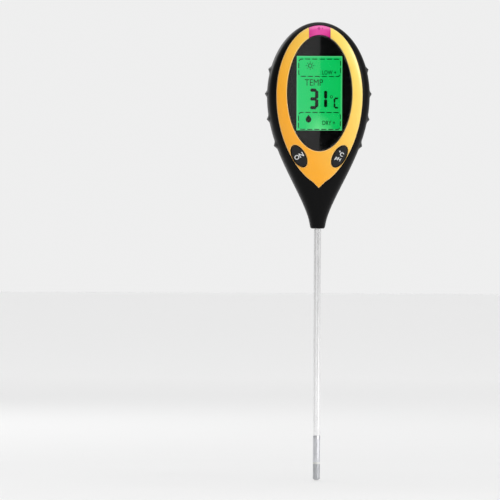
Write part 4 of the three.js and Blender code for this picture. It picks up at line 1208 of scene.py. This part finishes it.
def cross_screw(x, z, foot_y, head_y):
    """A pan-head screw with a tapered cross in its head and a thread on its shaft."""
    turns, thread_foot, thread_top = 10, foot_y + 1.2 * mm, head_y - 0.4 * mm
    profile = [(0, foot_y), (0.5, thread_foot)]
    step = (thread_top - thread_foot) / turns
    for k in range(turns):
        start = thread_foot + step * k
        profile += [(1.05, start + 0.1 * step), (1.05, start + 0.45 * step), (1.38, start + 0.7 * step)]
    profile += [(1.1, thread_top), (1.1, head_y), (2.35, head_y), (2.5, head_y + 0.2 * mm), (2.45, head_y + 0.7 * mm)]
    profile += [(radius, head_y + rise * mm) for radius, rise in [(2.2, 1.2), (1.7, 1.55), (0.9, 1.69), (0, 1.7)]]
    form = ringed([facing_back(x, z, radius * mm, y) for radius, y in profile], stations=40)
    arms = []
    for turn in (0, math.pi / 2):
        arm = block((-1.35, 0, -0.26), (1.35, 2, 0.26))
        for vertex in arm.verts:
            if vertex.co.y < 0.1 * mm:
                vertex.co.x *= 0.35
        bmesh.ops.rotate(arm, verts=arm.verts, matrix=Matrix.Rotation(turn + 0.5, 3, "Y"))
        bmesh.ops.translate(arm, verts=arm.verts, vec=(x, head_y + 0.55 * mm, z))
        arms.append(arm)
    return carved(carved(form, arms[0]), arms[1])


for k, (x, z) in enumerate(screw_places, 1):
    low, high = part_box(f"case_screw_{k}")
    fit_piece(f"cross_screw_{k}", cross_screw(x, z, low.y, 6.1 * mm), zinc, stands_for=[f"case_screw_{k}"],
              sharp_angle=30)

# ---------------------------------------------------------------- battery
# A 9 V block: a printed steel jacket rolled over at both ends, with two snap studs on its foot. A
# moulded snap holds the studs and carries the red and black leads.

battery_middle_y = (battery_high.y + battery_low.y) / 2


def jacket_ring(inset, z):
    """The rounded section of the battery, at a height."""
    half_x, half_y = battery_high.x - inset, (battery_high.y - battery_low.y) / 2 - inset
    section = rectangle_outline(half_x, -half_y, half_y, 2 * mm - inset * 0.9, (0.3, 0.7))

    def ring(t):
        x, y = section(t)
        return x, y + battery_middle_y, z
    return ring


crimp = [(1.5, -0.35), (1.1, -0.35), (0.95, -0.05), (0.6, 0), (0.25, -0.1), (0.05, -0.35), (0, -0.8), (0, -1.6)]
jacket_rings = [lambda t: (0, battery_middle_y, battery_high.z - 0.35 * mm)]
jacket_rings += [jacket_ring(inset * mm, battery_high.z + rise * mm) for inset, rise in crimp]
jacket_rings += [jacket_ring(inset * mm, battery_low.z - rise * mm) for inset, rise in crimp[::-1]]
jacket_rings.append(lambda t: (0, battery_middle_y, battery_low.z + 0.35 * mm))
jacket = Finish("battery_jacket", (0.05, 0.07, 0.2), 0.3, Metallic=0.35)
up_share = jacket.between(jacket.axis("Z"), battery_low.z, battery_high.z)
copper_band = 1 - jacket.between(up_share, 0.28, 0.285)
line = jacket.between(abs(up_share - 0.3), 0.006, 0.004)
ends = jacket.between(abs(up_share - 0.5), 0.482, 0.486)
printed_colour = jacket.blend(copper_band, (0.012, 0.02, 0.09), (0.62, 0.36, 0.06))
lined = jacket.blend(line, printed_colour, (0.75, 0.75, 0.75))
scratches = jacket.between(jacket.noise(0.5 * mm, 5, (1, 1, 0.1)), 0.62, 0.75)
jacket.feed(Base_Color=jacket.blend(scratches * 0.3, jacket.blend(ends, lined, (0.6, 0.6, 0.6)), (0.6, 0.6, 0.6)))
jacket.feed(Roughness=0.26 + 0.1 * jacket.noise(5 * mm) + 0.15 * scratches, Metallic=0.3 + 0.6 * ends)
jacket.bump((jacket.noise(4 * mm), 0.04 * mm), (scratches, 0.004 * mm))
fit_piece("battery_block", ringed(jacket_rings, stations=160), jacket, stands_for=["battery_body"])

vinyl = mottled("black_vinyl", (0.018, 0.018, 0.019), 0.4, 0.2, 2 * mm, 3, 0.4 * mm, 0.015 * mm)
dress(vinyl, "battery_snap", "battery_lead_black", "tube_lead")
red_pvc = mottled("red_pvc", (0.5, 0.012, 0.01), 0.3, 0.15, 1.5 * mm, 3)
red_pvc.feed(Base_Color=red_pvc.blend(red_pvc.noise(3 * mm), (0.55, 0.015, 0.012), (0.4, 0.01, 0.01)))
dress(red_pvc, "battery_lead_red", "sensor_lead")
nickel = mottled("nickel_plate", (0.7, 0.68, 0.62), 0.16, 0.18, 0.6 * mm, 4, 0.2 * mm, 0.006 * mm, Metallic=1.0)
dress(nickel, "battery_positive_stud", "battery_negative_stud")

# ---------------------------------------------------------------- circuit board
# A glass-fibre board with green solder mask over its copper, and parts moulded in black epoxy
# soldered to it. Four small screws hold it inside the case.

board = Finish("green_board", (0.01, 0.13, 0.04), 0.35)
track_x = (board.axis("X") * (2 * math.pi / (1.4 * mm)) + 5 * board.noise(7 * mm, 1)).sine()
tracks = board.between(track_x, 0.55, 0.75)
board.feed(Base_Color=board.blend(tracks, (0.008, 0.1, 0.03), (0.02, 0.2, 0.06)))
board.feed(Roughness=0.28 + 0.15 * board.noise(2 * mm, 3))
board.bump((tracks, 0.03 * mm), (board.noise(0.3 * mm), 0.008 * mm))
dress(board, "main_board")
resin = mottled("black_resin", (0.015, 0.015, 0.016), 0.5, 0.2, 0.3 * mm, 3, 0.12 * mm, 0.01 * mm)
dress(resin, "processor", "capacitor", "power_switch", "mode_switch", "temperature_sensor")
